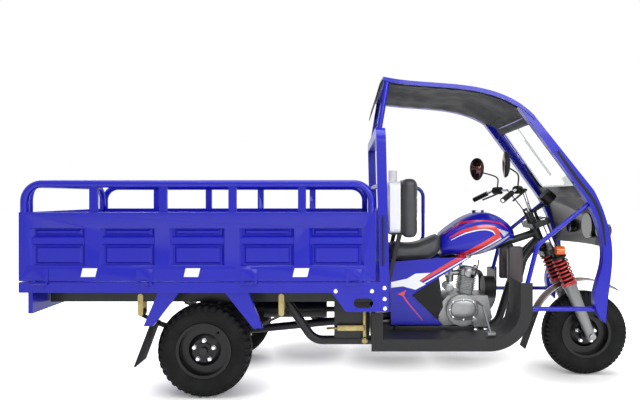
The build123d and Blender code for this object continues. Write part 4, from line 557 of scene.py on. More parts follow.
def lowered(half, depth, end_radius):
    """The groove bottom under a tyre's outside, which meets the side wall at a radius."""
    top = half[0][0]
    shoulder = half[len(CROWN_SHARES) - 1][1] * SHOULDER_SHARE
    sunk = []
    for radius, across in half:
        share = max(0.0, min(1.0, (radius - end_radius) / (top - CROWN_DROP - end_radius)))
        inward = GROOVE_INWARD if across > shoulder else 0.0
        sunk.append((radius - depth * share, across - depth * share * inward))
    return sunk


def on_wheel(centre, radius, turn, across):
    """A point on a wheel by its radius, its turn about the axle and its distance across."""
    return Vector((centre.x + radius * cos(turn), centre.y + across, centre.z + radius * sin(turn)))


def tyre_lug(mesh, centre, outside, floor, turn, half_turn, lean, side):
    """One lug: a strip of the outside raised over the groove bottom, leaning along the tread."""
    rings = []
    slope = half_turn * LUG_SLOPE
    for index, ((top, across), (low, low_across)) in enumerate(zip(outside, floor)):
        middle = turn + lean * index / len(outside)
        start, end = middle - half_turn, middle + half_turn
        rings.append(
            [
                on_wheel(centre, low - LUG_ROOT, start - slope, side * low_across),
                on_wheel(centre, top, start + slope, side * across),
                on_wheel(centre, top, end - slope, side * across),
                on_wheel(centre, low - LUG_ROOT, end + slope, side * low_across),
            ]
        )
    skin(mesh, rings)


def rib(mesh, centre, radius, place, wave, count):
    """A zigzag rib round the tread."""
    top = radius - CROWN_DROP * (abs(place) / TREAD_HALF) ** 2
    foot, crest = RIB_HALVES
    deep = LUG_DEPTH + LUG_ROOT
    corners = ((deep, -foot), (RIB_SINK, -crest), (RIB_SINK, crest), (deep, foot))
    rings = []
    for index in range(count * 2):
        turn = tau * index / (count * 2)
        middle = place + (wave if index % 2 else -wave)
        rings.append([on_wheel(centre, top - sink, turn, middle + across) for sink, across in corners])
    skin(mesh, rings + [rings[0]], caps=False)
    bmesh.ops.remove_doubles(mesh, verts=mesh.verts, dist=WELD_DISTANCE)


def tyre(node, body, lug_count, lug_share, centre_ribs):
    """A tyre in place of its node: carcass, shoulder lugs, zigzag centre ribs and side wall ridges."""
    low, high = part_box(node)
    centre = (low + high) / 2
    radius = (high.z - low.z) / 2
    half = tyre_half(high.y - low.y, radius)
    floor = lowered(half, LUG_DEPTH, radius - GROOVE_REACH)
    section = [(r, -y) for r, y in floor[::-1]] + floor[1:]
    mesh = bmesh.new()
    turns = [tau * index / TYRE_SEGMENTS for index in range(TYRE_SEGMENTS)]
    rows = [[mesh.verts.new(on_wheel(centre, r, turn, y)) for r, y in section] for turn in turns]
    for index, row in enumerate(rows):
        after = rows[(index + 1) % TYRE_SEGMENTS]
        for place in range(len(section) - 1):
            mesh.faces.new((row[place], row[place + 1], after[place + 1], after[place]))
        mesh.faces.new((row[-1], row[0], after[0], after[-1]))
    pitch = tau / lug_count
    outside, under = half[LUG_POINTS], floor[LUG_POINTS]
    for index in range(lug_count):
        for side in (-1, 1):
            turn = pitch * (index + (0.5 if side > 0 else 0.0))
            tyre_lug(mesh, centre, outside, under, turn, pitch * lug_share / 2, pitch * LUG_LEAN, side)
    for place, wave in centre_ribs:
        rib(mesh, centre, radius, place, wave, lug_count)
    piece = add_piece(node + "_tread", mesh, "tyre", body, smooth=False, sharp=TYRE_SHARP)
    piece.data.polygons.foreach_set("use_smooth", [len(face.vertices) == 4 for face in piece.data.polygons])
    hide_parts(node)


for row in TYRES:
    tyre(*row)

WHEEL_NUTS = 5
NUT_CIRCLE = 0.06
NUT_TURN = 0.3
NUT_SIZE = (0.021, 0.018)
RIM_FACE = 0.034
VALVE_INSET = 0.022
VALVE_DEPTH = 0.016
VALVE_TURN = 0.9
VALVE_OUTLINE = [(0, 0.006), (0.03, 0.005), (0.031, 0.0065), (0.042, 0.0065)]
RIMS = (  # node, body, and the side that the nuts are on
    ("rear_rim_left", "rear_wheel_left", 1),
    ("rear_rim_right", "rear_wheel_right", -1),
    ("front_rim", "front_wheel", -1),
)


def wheel_fittings(rim, body, side):
    """The wheel nuts and the valve on a rim's outside."""
    low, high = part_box(rim)
    centre = (low + high) / 2
    out = Vector((0, side, 0))
    nuts = bmesh.new()
    for index in range(WHEEL_NUTS):
        turn = tau * index / WHEEL_NUTS + NUT_TURN
        hexagon(nuts, on_wheel(centre, NUT_CIRCLE, turn, RIM_FACE * side), out, *NUT_SIZE)
    add_piece(rim + "_nuts", nuts, "chrome", body, smooth=False)
    valve = bmesh.new()
    foot = on_wheel(centre, BEAD_RADIUS - VALVE_INSET, VALVE_TURN, (RIM_FACE - VALVE_DEPTH) * side)
    turned_on(valve, foot, out, VALVE_OUTLINE, 10)
    add_piece(rim + "_valve", valve, "rubber", body)


for row in RIMS:
    wheel_fittings(*row)


# Cushions
PUFF_FRAMES = 20
PUFF_VOXEL = 0.006
PUFF_SMOOTHING = 6
PUFF_PRESSURE = 4.0


def applied(piece):
    """The piece with its modifiers made part of its mesh."""
    graph = bpy.context.evaluated_depsgraph_get()
    data = bpy.data.meshes.new_from_object(piece.evaluated_get(graph))
    piece.modifiers.clear()
    piece.data = data
    for face in data.polygons:
        face.use_smooth = True


def puffed(piece, cap, floor):
    """Blow a cushion up as sewn cloth, no point moving further than a cap or below its floor."""
    remesh = piece.modifiers.new("remesh", "REMESH")
    remesh.mode = "VOXEL"
    remesh.voxel_size = PUFF_VOXEL
    applied(piece)
    smooth = piece.modifiers.new("smooth", "SMOOTH")
    smooth.iterations = PUFF_SMOOTHING
    applied(piece)
    start = [vert.co.copy() for vert in piece.data.vertices]
    cloth = piece.modifiers.new("cloth", "CLOTH")
    cloth.settings.use_pressure = True
    cloth.settings.uniform_pressure_force = PUFF_PRESSURE
    cloth.settings.effector_weights.gravity = 0.0
    cloth.point_cache.frame_start = 1
    cloth.point_cache.frame_end = PUFF_FRAMES
    scene = bpy.context.scene
    for number in range(1, PUFF_FRAMES + 1):
        scene.frame_set(number)
    graph = bpy.context.evaluated_depsgraph_get()
    shaped = [vert.co.copy() for vert in piece.evaluated_get(graph).data.vertices]
    piece.modifiers.clear()
    scene.frame_set(1)
    for vert, before, after in zip(piece.data.vertices, start, shaped):
        move = after - before
        if move.length > cap:
            move *= cap / move.length
        vert.co = before + move
        vert.co.z = max(vert.co.z, floor)


def oval(x, half_width, low, high, power=3.4, count=40):
    """A rounded-square section across the vehicle at one place along it."""
    ring = []
    for index in range(count):
        turn = tau * index / count
        across = abs(cos(turn)) ** (2 / power) * (1 if cos(turn) > 0 else -1)
        up = abs(sin(turn)) ** (2 / power) * (1 if sin(turn) > 0 else -1)
        ring.append(Vector((x, half_width * across, (low + high) / 2 + (high - low) / 2 * up)))
    return ring


SEAT_LOW, SEAT_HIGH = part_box("seat")
SEAT_TOP_LINE = [(0.298, 0.895), (0.440, 0.882), (0.545, 0.910), (0.640, 0.955)]
SEAT_WIDTH_LINE = [(0.298, 0.130), (0.380, 0.134), (0.520, 0.128), (0.640, 0.100)]
SEAT_CHIN = (0.560, 0.825)
SEAT_RINGS = 24
SEAT_END = (0.86, 2.2)  # share of the width at an end, and how fast it grows
SEAT_END_DROP = 0.5
SEAT_CAP = 0.006
PUFF_ROOM = 0.004


def at_place(line, x):
    """The value of a line of (x, value) points at a place."""
    for (low, before), (high, after) in zip(line, line[1:]):
        if x <= high:
            share = max(0.0, (x - low) / (high - low))
            return before + (after - before) * share
    return line[-1][1]


def seat_section(x, shrink):
    """The saddle's section at a place, taken in by a share at its ends."""
    smooth_top = [(point.x, point.z) for point in smooth_line([(px, 0, pz) for px, pz in SEAT_TOP_LINE])]
    top = at_place(smooth_top, x) - PUFF_ROOM
    low = SEAT_LOW.z + PUFF_ROOM
    if x > SEAT_CHIN[0]:
        low += (SEAT_CHIN[1] - SEAT_LOW.z) * (x - SEAT_CHIN[0]) / (SEAT_HIGH.x - SEAT_CHIN[0])
    half = at_place(SEAT_WIDTH_LINE, x) * shrink
    return oval(x, half, low, low + (top - low) * (1 - (1 - shrink) * SEAT_END_DROP))


def saddle():
    """The rider's saddle, a cushion in place of the seat."""
    rear, front = SEAT_LOW.x + PUFF_ROOM, SEAT_HIGH.x - PUFF_ROOM
    mesh = bmesh.new()
    rings = []
    for index in range(SEAT_RINGS + 1):
        x = rear + (front - rear) * index / SEAT_RINGS
        edge = min(index, SEAT_RINGS - index) / SEAT_RINGS
        rings.append(seat_section(x, min(1.0, SEAT_END[0] + edge * SEAT_END[1])))
    skin(mesh, rings)
    piece = add_piece("saddle", mesh, "vinyl", "chassis")
    puffed(piece, SEAT_CAP, SEAT_LOW.z)
    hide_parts("seat")


PAD_CORNER = 0.034
PAD_CAP = 0.007
CHANNEL_STEP = 0.07  # over and under the pad's middle
CHANNEL_HALF = 0.018
CHANNEL_DEPTH = 0.003


def backrest_pad():
    """The backrest cushion, sewn across in two channels."""
    low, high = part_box("backrest")
    room = Vector((PUFF_ROOM, PUFF_ROOM, PUFF_ROOM))
    mesh = bmesh.new()
    rounded_block(mesh, low + room, high - room, PAD_CORNER, 5)
    piece = add_piece("backrest_pad", mesh, "vinyl", "chassis")
    puffed(piece, PAD_CAP, low.z)
    middle = (low.z + high.z) / 2
    for vert in piece.data.vertices:
        if vert.co.x > (low.x + high.x) / 2:
            for channel in (middle - CHANNEL_STEP, middle + CHANNEL_STEP):
                away = abs(vert.co.z - channel)
                if away < CHANNEL_HALF:
                    vert.co.x -= CHANNEL_DEPTH * (1 + cos(pi * away / CHANNEL_HALF)) / 2
        vert.co.x = max(vert.co.x, low.x)
    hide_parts("backrest")


saddle()
backrest_pad()

# Tank and side panel stripes: side-view lines of (x, z) points
TANK_NODES = ["fuel_tank", "side_panels"]
UPPER_RED = [(0.652, 0.950), (0.719, 1.000), (0.793, 1.028), (0.917, 1.036), (1.017, 1.020), (1.068, 0.980)]
SWOOSH_RED = [(0.690, 0.925), (0.781, 0.972), (0.893, 0.998), (0.967, 0.990), (1.006, 0.952)]
DIAGONAL_RED = [(1.012, 0.948), (0.860, 0.858), (0.700, 0.766), (0.500, 0.650)]
DIAGONAL_WHITE = [(1.022, 0.926), (0.866, 0.834), (0.706, 0.741), (0.514, 0.630)]
SWOOSH_WHITE = [(0.700, 0.910), (0.790, 0.956), (0.893, 0.980), (0.955, 0.973), (0.980, 0.950)]
PALE_BAND = [(1.078, 0.936), (1.000, 0.888), (0.900, 0.832), (0.780, 0.778)]
SILVER_PATCH = [(0.985, 0.992), (1.075, 0.962), (1.040, 0.934), (1.018, 0.962)]
NOSE_TRIM = [(1.070, 1.040), (1.092, 1.018), (1.110, 0.985), (1.116, 0.955), (1.106, 0.948), (1.092, 0.985)]
PANEL_WHITE = [
    [(0.306, 0.640), (0.409, 0.662), (0.464, 0.695), (0.478, 0.650), (0.384, 0.612), (0.306, 0.604)],
    [(0.464, 0.695), (0.560, 0.700), (0.488, 0.648), (0.478, 0.650)],
    [(0.478, 0.650), (0.488, 0.648), (0.530, 0.626), (0.464, 0.590), (0.384, 0.612)],
]
PANEL_ARROW = [(0.345, 0.561), (0.404, 0.588), (0.386, 0.548)]
PANEL_LINE = [(0.384, 0.552), (0.420, 0.500), (0.510, 0.392)]


def tank_stripes(side):
    """The stripes on one side of the tank and its side panel."""
    end = ENDS[side]
    reds = strips(band(UPPER_RED, [0.016, 0.022, 0.012, 0.009, 0.010, 0.004]))
    reds += strips(band(SWOOSH_RED, [0.006, 0.020, 0.026, 0.028, 0.032]))
    reds += strips(band(DIAGONAL_RED, [0.034, 0.030, 0.026, 0.018]))
    reds += [PANEL_ARROW] + strips(band(PANEL_LINE, [0.009, 0.007, 0.004]))
    whites = strips(band(DIAGONAL_WHITE, [0.009, 0.009, 0.008, 0.007]))
    whites += strips(band(SWOOSH_WHITE, [0.003, 0.007, 0.008, 0.008, 0.006]))
    whites += PANEL_WHITE
    film("tank_red_" + end, reds, TANK_NODES, side, "red")
    film("tank_white_" + end, whites, TANK_NODES, side, "white")
    silvers = [SILVER_PATCH] + strips(band(PALE_BAND, [0.010, 0.018, 0.016, 0.004]))
    film("tank_silver_" + end, silvers, TANK_NODES, side, "silver")
    film("tank_nose_" + end, [NOSE_TRIM], TANK_NODES, side, "plastic")


for_both_sides(tank_stripes)


# Roof lining, rear lip and windscreen seal
LINING_HALF_WIDTH = 0.405
LINING_X = (0.262, 1.085)
LINING_RIBS = 7
LINING_DROP = 0.004
LINING_SEAM = 0.004
LINING_STEPS = 8  # steps from seam to seam
LINING_PLACES = 12  # places from the middle to each side
LINING_START = 1.5  # height from which the roof is looked for


def lining(name, targets, ends, half_width, steps, seam_depth):
    """A dark lining under some nodes, drawn in at its cross seams."""
    tree = surface_tree(targets)
    mesh = bmesh.new()
    rings = []
    for index in range(steps + 1):
        x = ends[0] + (ends[1] - ends[0]) * index / steps
        seam = seam_depth * abs(sin(pi * index / LINING_STEPS))
        under = []
        for place in range(-LINING_PLACES, LINING_PLACES + 1):
            start = Vector((x, half_width * place / LINING_PLACES, LINING_START))
            hit = tree.ray_cast(start, Vector((0, 0, 1)))[0]
            under.append(hit - Vector((0, 0, LINING_DROP + seam)))
        over = [point + Vector((0, 0, LINING_DROP / 2 + seam)) for point in under[::-1]]
        rings.append(under + over)
    skin(mesh, rings)
    add_piece(name, mesh, "lining", "chassis")


LIP_LINE = [(0.240, 1.906), (0.222, 1.880), (0.206, 1.835), (0.190, 1.768)]
LIP_HALF_WIDTH = 0.452
LIP_SHEET = 0.007


def roof_lip():
    """The black rubber lip that hangs behind the roof's rear edge."""
    line = smooth_line([(x, 0, z) for x, z in LIP_LINE], 5)
    mesh = bmesh.new()
    rings = []
    for share in (-1, -0.985, 0.985, 1):
        thin = LIP_SHEET * (0.4 if abs(share) == 1 else 1.0)
        y = LIP_HALF_WIDTH * share
        front = [Vector((point.x + thin / 2, y, point.z)) for point in line]
        back = [Vector((point.x - thin / 2, y, point.z)) for point in line[::-1]]
        rings.append(front + back)
    skin(mesh, rings)
    add_piece("roof_lip", mesh, "rubber", "chassis")


SEAL_RADIUS = 0.011
SEAL_CORNER = 0.045


def screen_seal():
    """The rubber seal round the windscreen, on its sloping plane."""
    low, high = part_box("windscreen")
    top = Vector((low.x, 0, high.z))
    bottom = Vector((high.x, 0, low.z))
    fall = (bottom - top).normalized()
    length = (bottom - top).length
    half = high.y - SEAL_RADIUS / 2
    points = []
    for across, along, start in ((1, 0, 90), (1, 1, 0), (-1, 1, 270), (-1, 0, 180)):
        corner_y = across * (half - SEAL_CORNER)
        corner_s = SEAL_CORNER if not along else length - SEAL_CORNER
        for step in range(7):
            turn = radians(start - 15 * step)
            place = corner_s - SEAL_CORNER * sin(turn)
            points.append(top + fall * place + Vector((0, corner_y + SEAL_CORNER * cos(turn), 0)))
    mesh = bmesh.new()
    tube_along(mesh, points + points[:1], SEAL_RADIUS, 8)
    add_piece("screen_seal", mesh, "rubber", "chassis")


lining("roof_lining", ["roof_canopy"], LINING_X, LINING_HALF_WIDTH, LINING_RIBS * LINING_STEPS, LINING_SEAM)
roof_lip()
screen_seal()


# Reflectors and bolts on the bed
REFLECTORS_X = (-1.462, -0.869, -0.242)
REFLECTOR_Z = (0.732, 0.782)
REFLECTOR_HALF = 0.042
REFLECTOR_SLANT = 0.012


def bed_reflectors(side):
    """The blank white reflectors along one drop side."""
    end = ENDS[side]
    outlines = []
    for x in REFLECTORS_X:
        outlines.append(
            [
                (x - REFLECTOR_HALF - REFLECTOR_SLANT, REFLECTOR_Z[0]),
                (x + REFLECTOR_HALF - REFLECTOR_SLANT, REFLECTOR_Z[0]),
                (x + REFLECTOR_HALF, REFLECTOR_Z[1]),
                (x - REFLECTOR_HALF, REFLECTOR_Z[1]),
            ]
        )
    piece = film("reflectors_" + end, outlines, ["side_" + end], side, "white", end + "_drop_side")


GUSSET_BOLTS = [(-0.048, 0.650), (0.161, 0.650), (0.233, 0.668), (0.234, 0.605), (0.236, 0.550)]
BOLT_SIZE = (0.019, 0.010)


def bed_bolts(side):
    """The bolts that hold one corner gusset to the bed and the headboard."""
    tree = surface_tree(["bed_floor", "bed_gussets", "headboard"])
    mesh = bmesh.new()
    out = Vector((0, side, 0))
    for x, z in GUSSET_BOLTS:
        hit = tree.ray_cast(Vector((x, side, z)), -out)[0]
        hexagon(mesh, hit, out, *BOLT_SIZE)
    add_piece("gusset_bolts_" + ENDS[side], mesh, "chrome", "chassis", smooth=False)


for_both_sides(bed_reflectors)
for_both_sides(bed_bolts)


# Front fender stripes and edge
FENDER_CENTRE = (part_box("front_tyre")[0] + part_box("front_tyre")[1]) / 2
FENDER_RADIUS = 0.36
FENDER_HALF = 0.074
FENDER_ARC = (56, 151)
FENDER_STEPS = 48
FENDER_BEAD = (2.2, 0.002, 0.0045)  # degrees ahead of the arc, depth and radius
FENDER_BANDS = (("white", "water_white", 0.050, 0.064), ("red", "spring_red", 0.034, 0.043))


def on_fender(angle, y, lift):
    """A point over the fender, by its angle from straight ahead and its place across."""
    return on_wheel(FENDER_CENTRE, FENDER_RADIUS + lift, radians(angle), y)


def fender_bands():
    """Two stripes along each edge of the front fender, and the bright bead along its front."""
    for paint, slot, inner, outer in FENDER_BANDS:
        mesh = bmesh.new()
        for side in (-1, 1):
            rings = []
            for step in range(FENDER_STEPS + 1):
                angle = FENDER_ARC[0] + (FENDER_ARC[1] - FENDER_ARC[0]) * step / FENDER_STEPS
                across = [side * (inner + (outer - inner) * share / 3) for share in range(4)]
                top = [on_fender(angle, y, FILM_LIFT) for y in across]
                rings.append(top + [on_fender(angle, y, FILM_LIFT / 3) for y in across[::-1]])
            skin(mesh, rings)
        add_piece("fender_" + paint, mesh, paint, "steering")
    mesh = bmesh.new()
    ahead, depth, radius = FENDER_BEAD
    edge = [on_fender(FENDER_ARC[0] - ahead, FENDER_HALF * step / 10, -depth) for step in range(-10, 11)]
    tube_along(mesh, edge, radius, 8)
    add_piece("fender_bead", mesh, "chrome", "steering")


fender_bands()


# Header lining and dash
HEADER_X = (1.080, 1.158)
HEADER_HALF_WIDTH = 0.345
HEADER_STEPS = 8
DASH_TOP = (1.432, 1.262)
DASH_FOOT = (1.482, 1.190)
DASH_HALF_WIDTH = 0.392
DASH_SHEET = 0.006


def dash_cover():
    """The black cover between the windscreen's foot and the fascia."""
    mesh = bmesh.new()
    rings = []
    for share in (-1, -0.99, 0.99, 1):
        thin = DASH_SHEET * (0.5 if abs(share) == 1 else 1.0)
        y = DASH_HALF_WIDTH * share
        (top_x, top_z), (foot_x, foot_z) = DASH_TOP, DASH_FOOT
        rings.append(
            [
                Vector((top_x, y, top_z)),
                Vector((top_x + thin, y, top_z)),
                Vector((foot_x + thin, y, foot_z + thin)),
                Vector((foot_x, y, foot_z)),
            ]
        )
    skin(mesh, rings)
    add_piece("dash_cover", mesh, "plastic", "chassis", smooth=False)


lining("header_lining", ["roof_canopy", "cab_pillars"], HEADER_X, HEADER_HALF_WIDTH, HEADER_STEPS, 0.0)
dash_cover()


# Engine trim
ENGINE_COVER = (0.776, 0.460)
ENGINE_COVER_SIZE = (0.098, 0.072)
ENGINE_FACE = 0.1515
COVER_POWER = 2.5  # 2 is an oval, and more is squarer
COVER_STEPS = (  # distance out, and share of the size
    (0.0, 1.0),
    (0.006, 1.0),
    (0.008, 0.96),
    (0.008, 0.84),
    (0.016, 0.80),
    (0.019, 0.70),
    (0.020, 0.2),
)
COVER_BOLTS = 8
COVER_BOLT_PLACE = (0.008, 0.9)
COVER_BOLT_SIZE = (0.010, 0.006)
FILLER_STEP = (0.075, -0.075)
FILLER_OUTLINE = [(0, 0.02), (0.012, 0.02), (0.013, 0.015), (0.02, 0.014)]


def cover_ring(y, share, count=48):
    """A ring of the engine cover's rounded outline."""
    points = []
    for index in range(count):
        turn = tau * index / count
        reach = 1 / (abs(cos(turn)) ** COVER_POWER + abs(sin(turn)) ** COVER_POWER) ** (1 / COVER_POWER)
        x = ENGINE_COVER[0] + ENGINE_COVER_SIZE[0] * share * reach * cos(turn)
        z = ENGINE_COVER[1] + ENGINE_COVER_SIZE[1] * share * reach * sin(turn)
        points.append(Vector((x, y, z)))
    return points


def engine_trim(side):
    """The domed cover on one side of the crankcase, with its flange, bolts and oil filler."""
    end = ENDS[side]
    out = Vector((0, side, 0))
    mesh = bmesh.new()
    skin(mesh, [cover_ring(side * (ENGINE_FACE + step), share) for step, share in COVER_STEPS])
    x, z = (middle + step for middle, step in zip(ENGINE_COVER, FILLER_STEP))
    turned_on(mesh, (x, side * ENGINE_FACE, z), out, FILLER_OUTLINE, 16)
    add_piece("engine_cover_" + end, mesh, "alloy", "chassis", sharp=CASTING_SHARP)
    bolts = bmesh.new()
    step, share = COVER_BOLT_PLACE
    for place in cover_ring(side * (ENGINE_FACE + step), share, COVER_BOLTS):
        hexagon(bolts, place, out, *COVER_BOLT_SIZE)
    add_piece("engine_bolts_" + end, bolts, "chrome", "chassis", smooth=False)


for_both_sides(engine_trim)

STARTER_END = (0.700, -0.085, 0.588)
STARTER_OUTLINE = [
    *((0, 0.02), (0.004, 0.030), (0.02, 0.030), (0.021, 0.027)),
    *((0.12, 0.027), (0.121, 0.030), (0.14, 0.030), (0.144, 0.02)),
]
PLUG_STEP = (0.045, 0.004, 0.075)  # back, in and down from the cylinder's front right top corner
PLUG_OUTLINE = [(0, 0.011), (0.012, 0.011), (0.014, 0.009), (0.034, 0.008)]
LEAD_STEPS = ((0, -0.03, 0), (0.01, -0.055, 0.02), (0.03, -0.04, 0.07), (0.05, 0.02, 0.105))
LEAD_RADIUS = 0.0042


def engine_fittings():
    """The starter motor behind the cylinder, the spark plug's cap and its lead."""
    mesh = bmesh.new()
    turned_on(mesh, STARTER_END, (0, 1, 0), STARTER_OUTLINE, 28)
    add_piece("starter_motor", mesh, "alloy", "chassis", sharp=CASTING_SHARP)
    low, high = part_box("engine_cylinder")
    foot = Vector((high.x - PLUG_STEP[0], low.y + PLUG_STEP[1], high.z - PLUG_STEP[2]))
    mesh = bmesh.new()
    turned_on(mesh, foot, (0, -1, 0), PLUG_OUTLINE, 14)
    tube_along(mesh, smooth_line([foot + Vector(step) for step in LEAD_STEPS], 6), LEAD_RADIUS, 8)
    add_piece("spark_cap", mesh, "rubber", "chassis")


engine_fittings()


# Stamped bays of the drop sides and the tailgate
BAY_POST = 0.078
RAIL_POST = 0.046
BAY_Z = (0.793, 1.014)
BAY_DEPTH = 0.022
BAY_SLOPE = (0.020, 0.006)
RIDGE_Z = (0.910, 0.970)
RIDGE_RISE = 0.016
RIDGE_SLOPE = (0.0, 0.012)
PILLOWS_Z = ((0.808, 0.905), (0.974, 1.004))
PILLOW_RISE = 0.007
PILLOW_INSET = 0.030
PILLOW_SLOPE = (0.010, 0.008)
CUT_OVER = 0.004
FLAT_SHARE = 0.99  # faces this square to a wall are shaded flat
WALL_SHARP = 20


def sloped_block(mesh, wall, ends, heights, base, rise, slope):
    """A block with sloping sides on a wall: its foot's ends and heights, and its rise out from a base."""
    origin, way, out = wall
    rings = []
    for step, share in ((base, 0.0), (base + rise, 1.0)):
        low, high = ends[0] + slope[0] * share, ends[1] - slope[0] * share
        bottom, top = heights[0] + slope[1] * share, heights[1] - slope[1] * share
        corners = ((low, bottom), (high, bottom), (high, top), (low, top))
        rings.append([origin + way * along + Vector((0, 0, up)) + out * step for along, up in corners])
    skin(mesh, rings)


def cut_out(piece, cutters):
    """The piece with the cutters' form taken away."""
    bmesh.ops.recalc_face_normals(cutters, faces=cutters.faces)
    tool = made("cutter", cutters)
    cut = piece.modifiers.new("cut", "BOOLEAN")
    cut.operation = "DIFFERENCE"
    cut.solver = "EXACT"
    cut.object = tool
    applied(piece)
    bpy.data.objects.remove(tool)


def stamped_wall(node, body, wall, ends, count):
    """A bed wall with its bays: a recess between posts, with a ridge and two raised panels in it."""
    mesh = bmesh.new()
    mesh.from_mesh(nodes[node].data)
    bmesh.ops.remove_doubles(mesh, verts=mesh.verts, dist=WELD_DISTANCE)
    piece = add_piece("stamped_" + node, mesh, "blue", body)
    step = (ends[1] - ends[0] - RAIL_POST) / count
    first = ends[0] + (RAIL_POST + BAY_POST) / 2
    bays = [(first + step * index, first + step * (index + 1) - BAY_POST) for index in range(count)]
    cutters = bmesh.new()
    depth = BAY_DEPTH + CUT_OVER
    slope = [share * depth / BAY_DEPTH for share in BAY_SLOPE]
    for low, high in bays:
        sloped_block(cutters, wall, (low, high), BAY_Z, CUT_OVER, -depth, slope)
    cut_out(piece, cutters)
    mesh = bmesh.new()
    mesh.from_mesh(piece.data)
    for low, high in bays:
        inner = (low + BAY_SLOPE[0] / 2, high - BAY_SLOPE[0] / 2)
        sloped_block(mesh, wall, inner, RIDGE_Z, -BAY_DEPTH, RIDGE_RISE, RIDGE_SLOPE)
        inner = (low + PILLOW_INSET, high - PILLOW_INSET)
        for heights in PILLOWS_Z:
            sloped_block(mesh, wall, inner, heights, -BAY_DEPTH, PILLOW_RISE, PILLOW_SLOPE)
    bmesh.ops.recalc_face_normals(mesh, faces=mesh.faces)
    mesh.to_mesh(piece.data)
    mesh.free()
    for face in piece.data.polygons:
        face.use_smooth = abs(face.normal.dot(wall[2])) < FLAT_SHARE
    piece.data.set_sharp_from_angle(angle=radians(WALL_SHARP))
    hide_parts(node)


SIDE_ENDS = (-1.874, 0.182)
SIDE_FACE = 0.605
SIDE_BAYS = 5
GATE_HALF = 0.555
GATE_BAYS = 3


def stamped_side(side):
    """One drop side with its stamped bays."""
    end = ENDS[side]
    wall = (Vector((0, side * SIDE_FACE, 0)), Vector((1, 0, 0)), Vector((0, side, 0)))
    stamped_wall("side_" + end, end + "_drop_side", wall, SIDE_ENDS, SIDE_BAYS)


for_both_sides(stamped_side)
GATE_WALL = (Vector((SIDE_ENDS[0], 0, 0)), Vector((0, 1, 0)), Vector((-1, 0, 0)))
stamped_wall("tailgate", "rear_gate", GATE_WALL, (-GATE_HALF, GATE_HALF), GATE_BAYS)


# Fork springs and their boots
STEERING = next(joint for joint in frame["joints"] if joint["name"] == "steering_axis")
FORK_AXIS = Vector(STEERING["axis"]).normalized()
FORK_Y = 0.115
COIL_RADIUS = 0.0445
COIL_WIRE = 0.0056
COIL_TURNS = 6.5
SPRING_RADIUS = 0.05
BOOT_RADII = (0.029, 0.036)
BOOT_FOLDS = 9
CUP_HEIGHT = 0.012
CUP_BORE = 0.034
COIL_STEPS = 22  # steps in each turn of a coil


def fork_coils():
    """Two coil springs, each on its cup and over a folded rubber boot."""
    low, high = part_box("fork_springs")
    middle = (low + high) / 2
    length = (high.z - low.z - 2 * SPRING_RADIUS * abs(FORK_AXIS.x)) / FORK_AXIS.z
    across, up = directions(FORK_AXIS)
    coils = bmesh.new()
    boots = bmesh.new()
    for side in (-1, 1):
        foot = Vector((middle.x, side * FORK_Y, middle.z)) - FORK_AXIS * length / 2
        room = length - 2 * COIL_WIRE
        steps = int(COIL_TURNS * COIL_STEPS)
        line = []
        for index in range(steps + 1):
            turn = tau * COIL_TURNS * index / steps
            around = (across * cos(turn) + up * sin(turn)) * COIL_RADIUS
            line.append(foot + FORK_AXIS * (COIL_WIRE + room * index / steps) + around)
        tube_along(coils, line, COIL_WIRE, 10)
        cup = [(0, CUP_BORE), (0, SPRING_RADIUS), (CUP_HEIGHT, SPRING_RADIUS), (CUP_HEIGHT, CUP_BORE)]
        turned_on(coils, foot, FORK_AXIS, cup, 32)
        folds = []
        for index in range(BOOT_FOLDS * 2 + 1):
            folds.append((length * index / (BOOT_FOLDS * 2), BOOT_RADII[index % 2]))
        turned_on(boots, foot, FORK_AXIS, folds, 24)
    piece = add_piece("fork_coils", coils, "red", "steering", sharp=COIL_SHARP)
    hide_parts("fork_springs")
    add_piece("fork_boots", boots, "rubber", "steering")


fork_coils()


# Cylinder, head and carburettor
CYLINDER_LEAN = 8
CYLINDER_FOOT = (0.811, 0.0, 0.530)
CORE_HALF = 0.046
CORE_CORNER = 0.012
FIN_HALF = 0.059
FIN_SHEET = 0.004
FIN_CORNER = 0.0015
FINS_Z = [0.042 + 0.0115 * index for index in range(8)]
HEAD_FINS_Z = [0.146, 0.158, 0.170]
HEAD_HALF = 0.054
HEAD_CORNER = 0.010
HEAD_Z = (0.132, 0.182)
HEAD_OVERLAP = 0.01
ROCKER_HALF = (0.046, 0.040)
ROCKER_CORNER = 0.014
ROCKER_GAP = 0.012  # below the cylinder node's top
VALVE_CAP = [(0, 0.019), (0.016, 0.019), (0.018, 0.016), (0.019, 0.006)]
VALVE_CAP_PLACE = (0.040, 0.012)  # out from the middle, and over the head
HEAD_BOLTS = (0.036, 0.046)
HEAD_BOLT_SIZE = (0.012, 0.010)
CAM_COVER = [(0, 0.030), (0.008, 0.030), (0.011, 0.025), (0.012, 0.010)]
CAM_COVER_RISE = 0.025


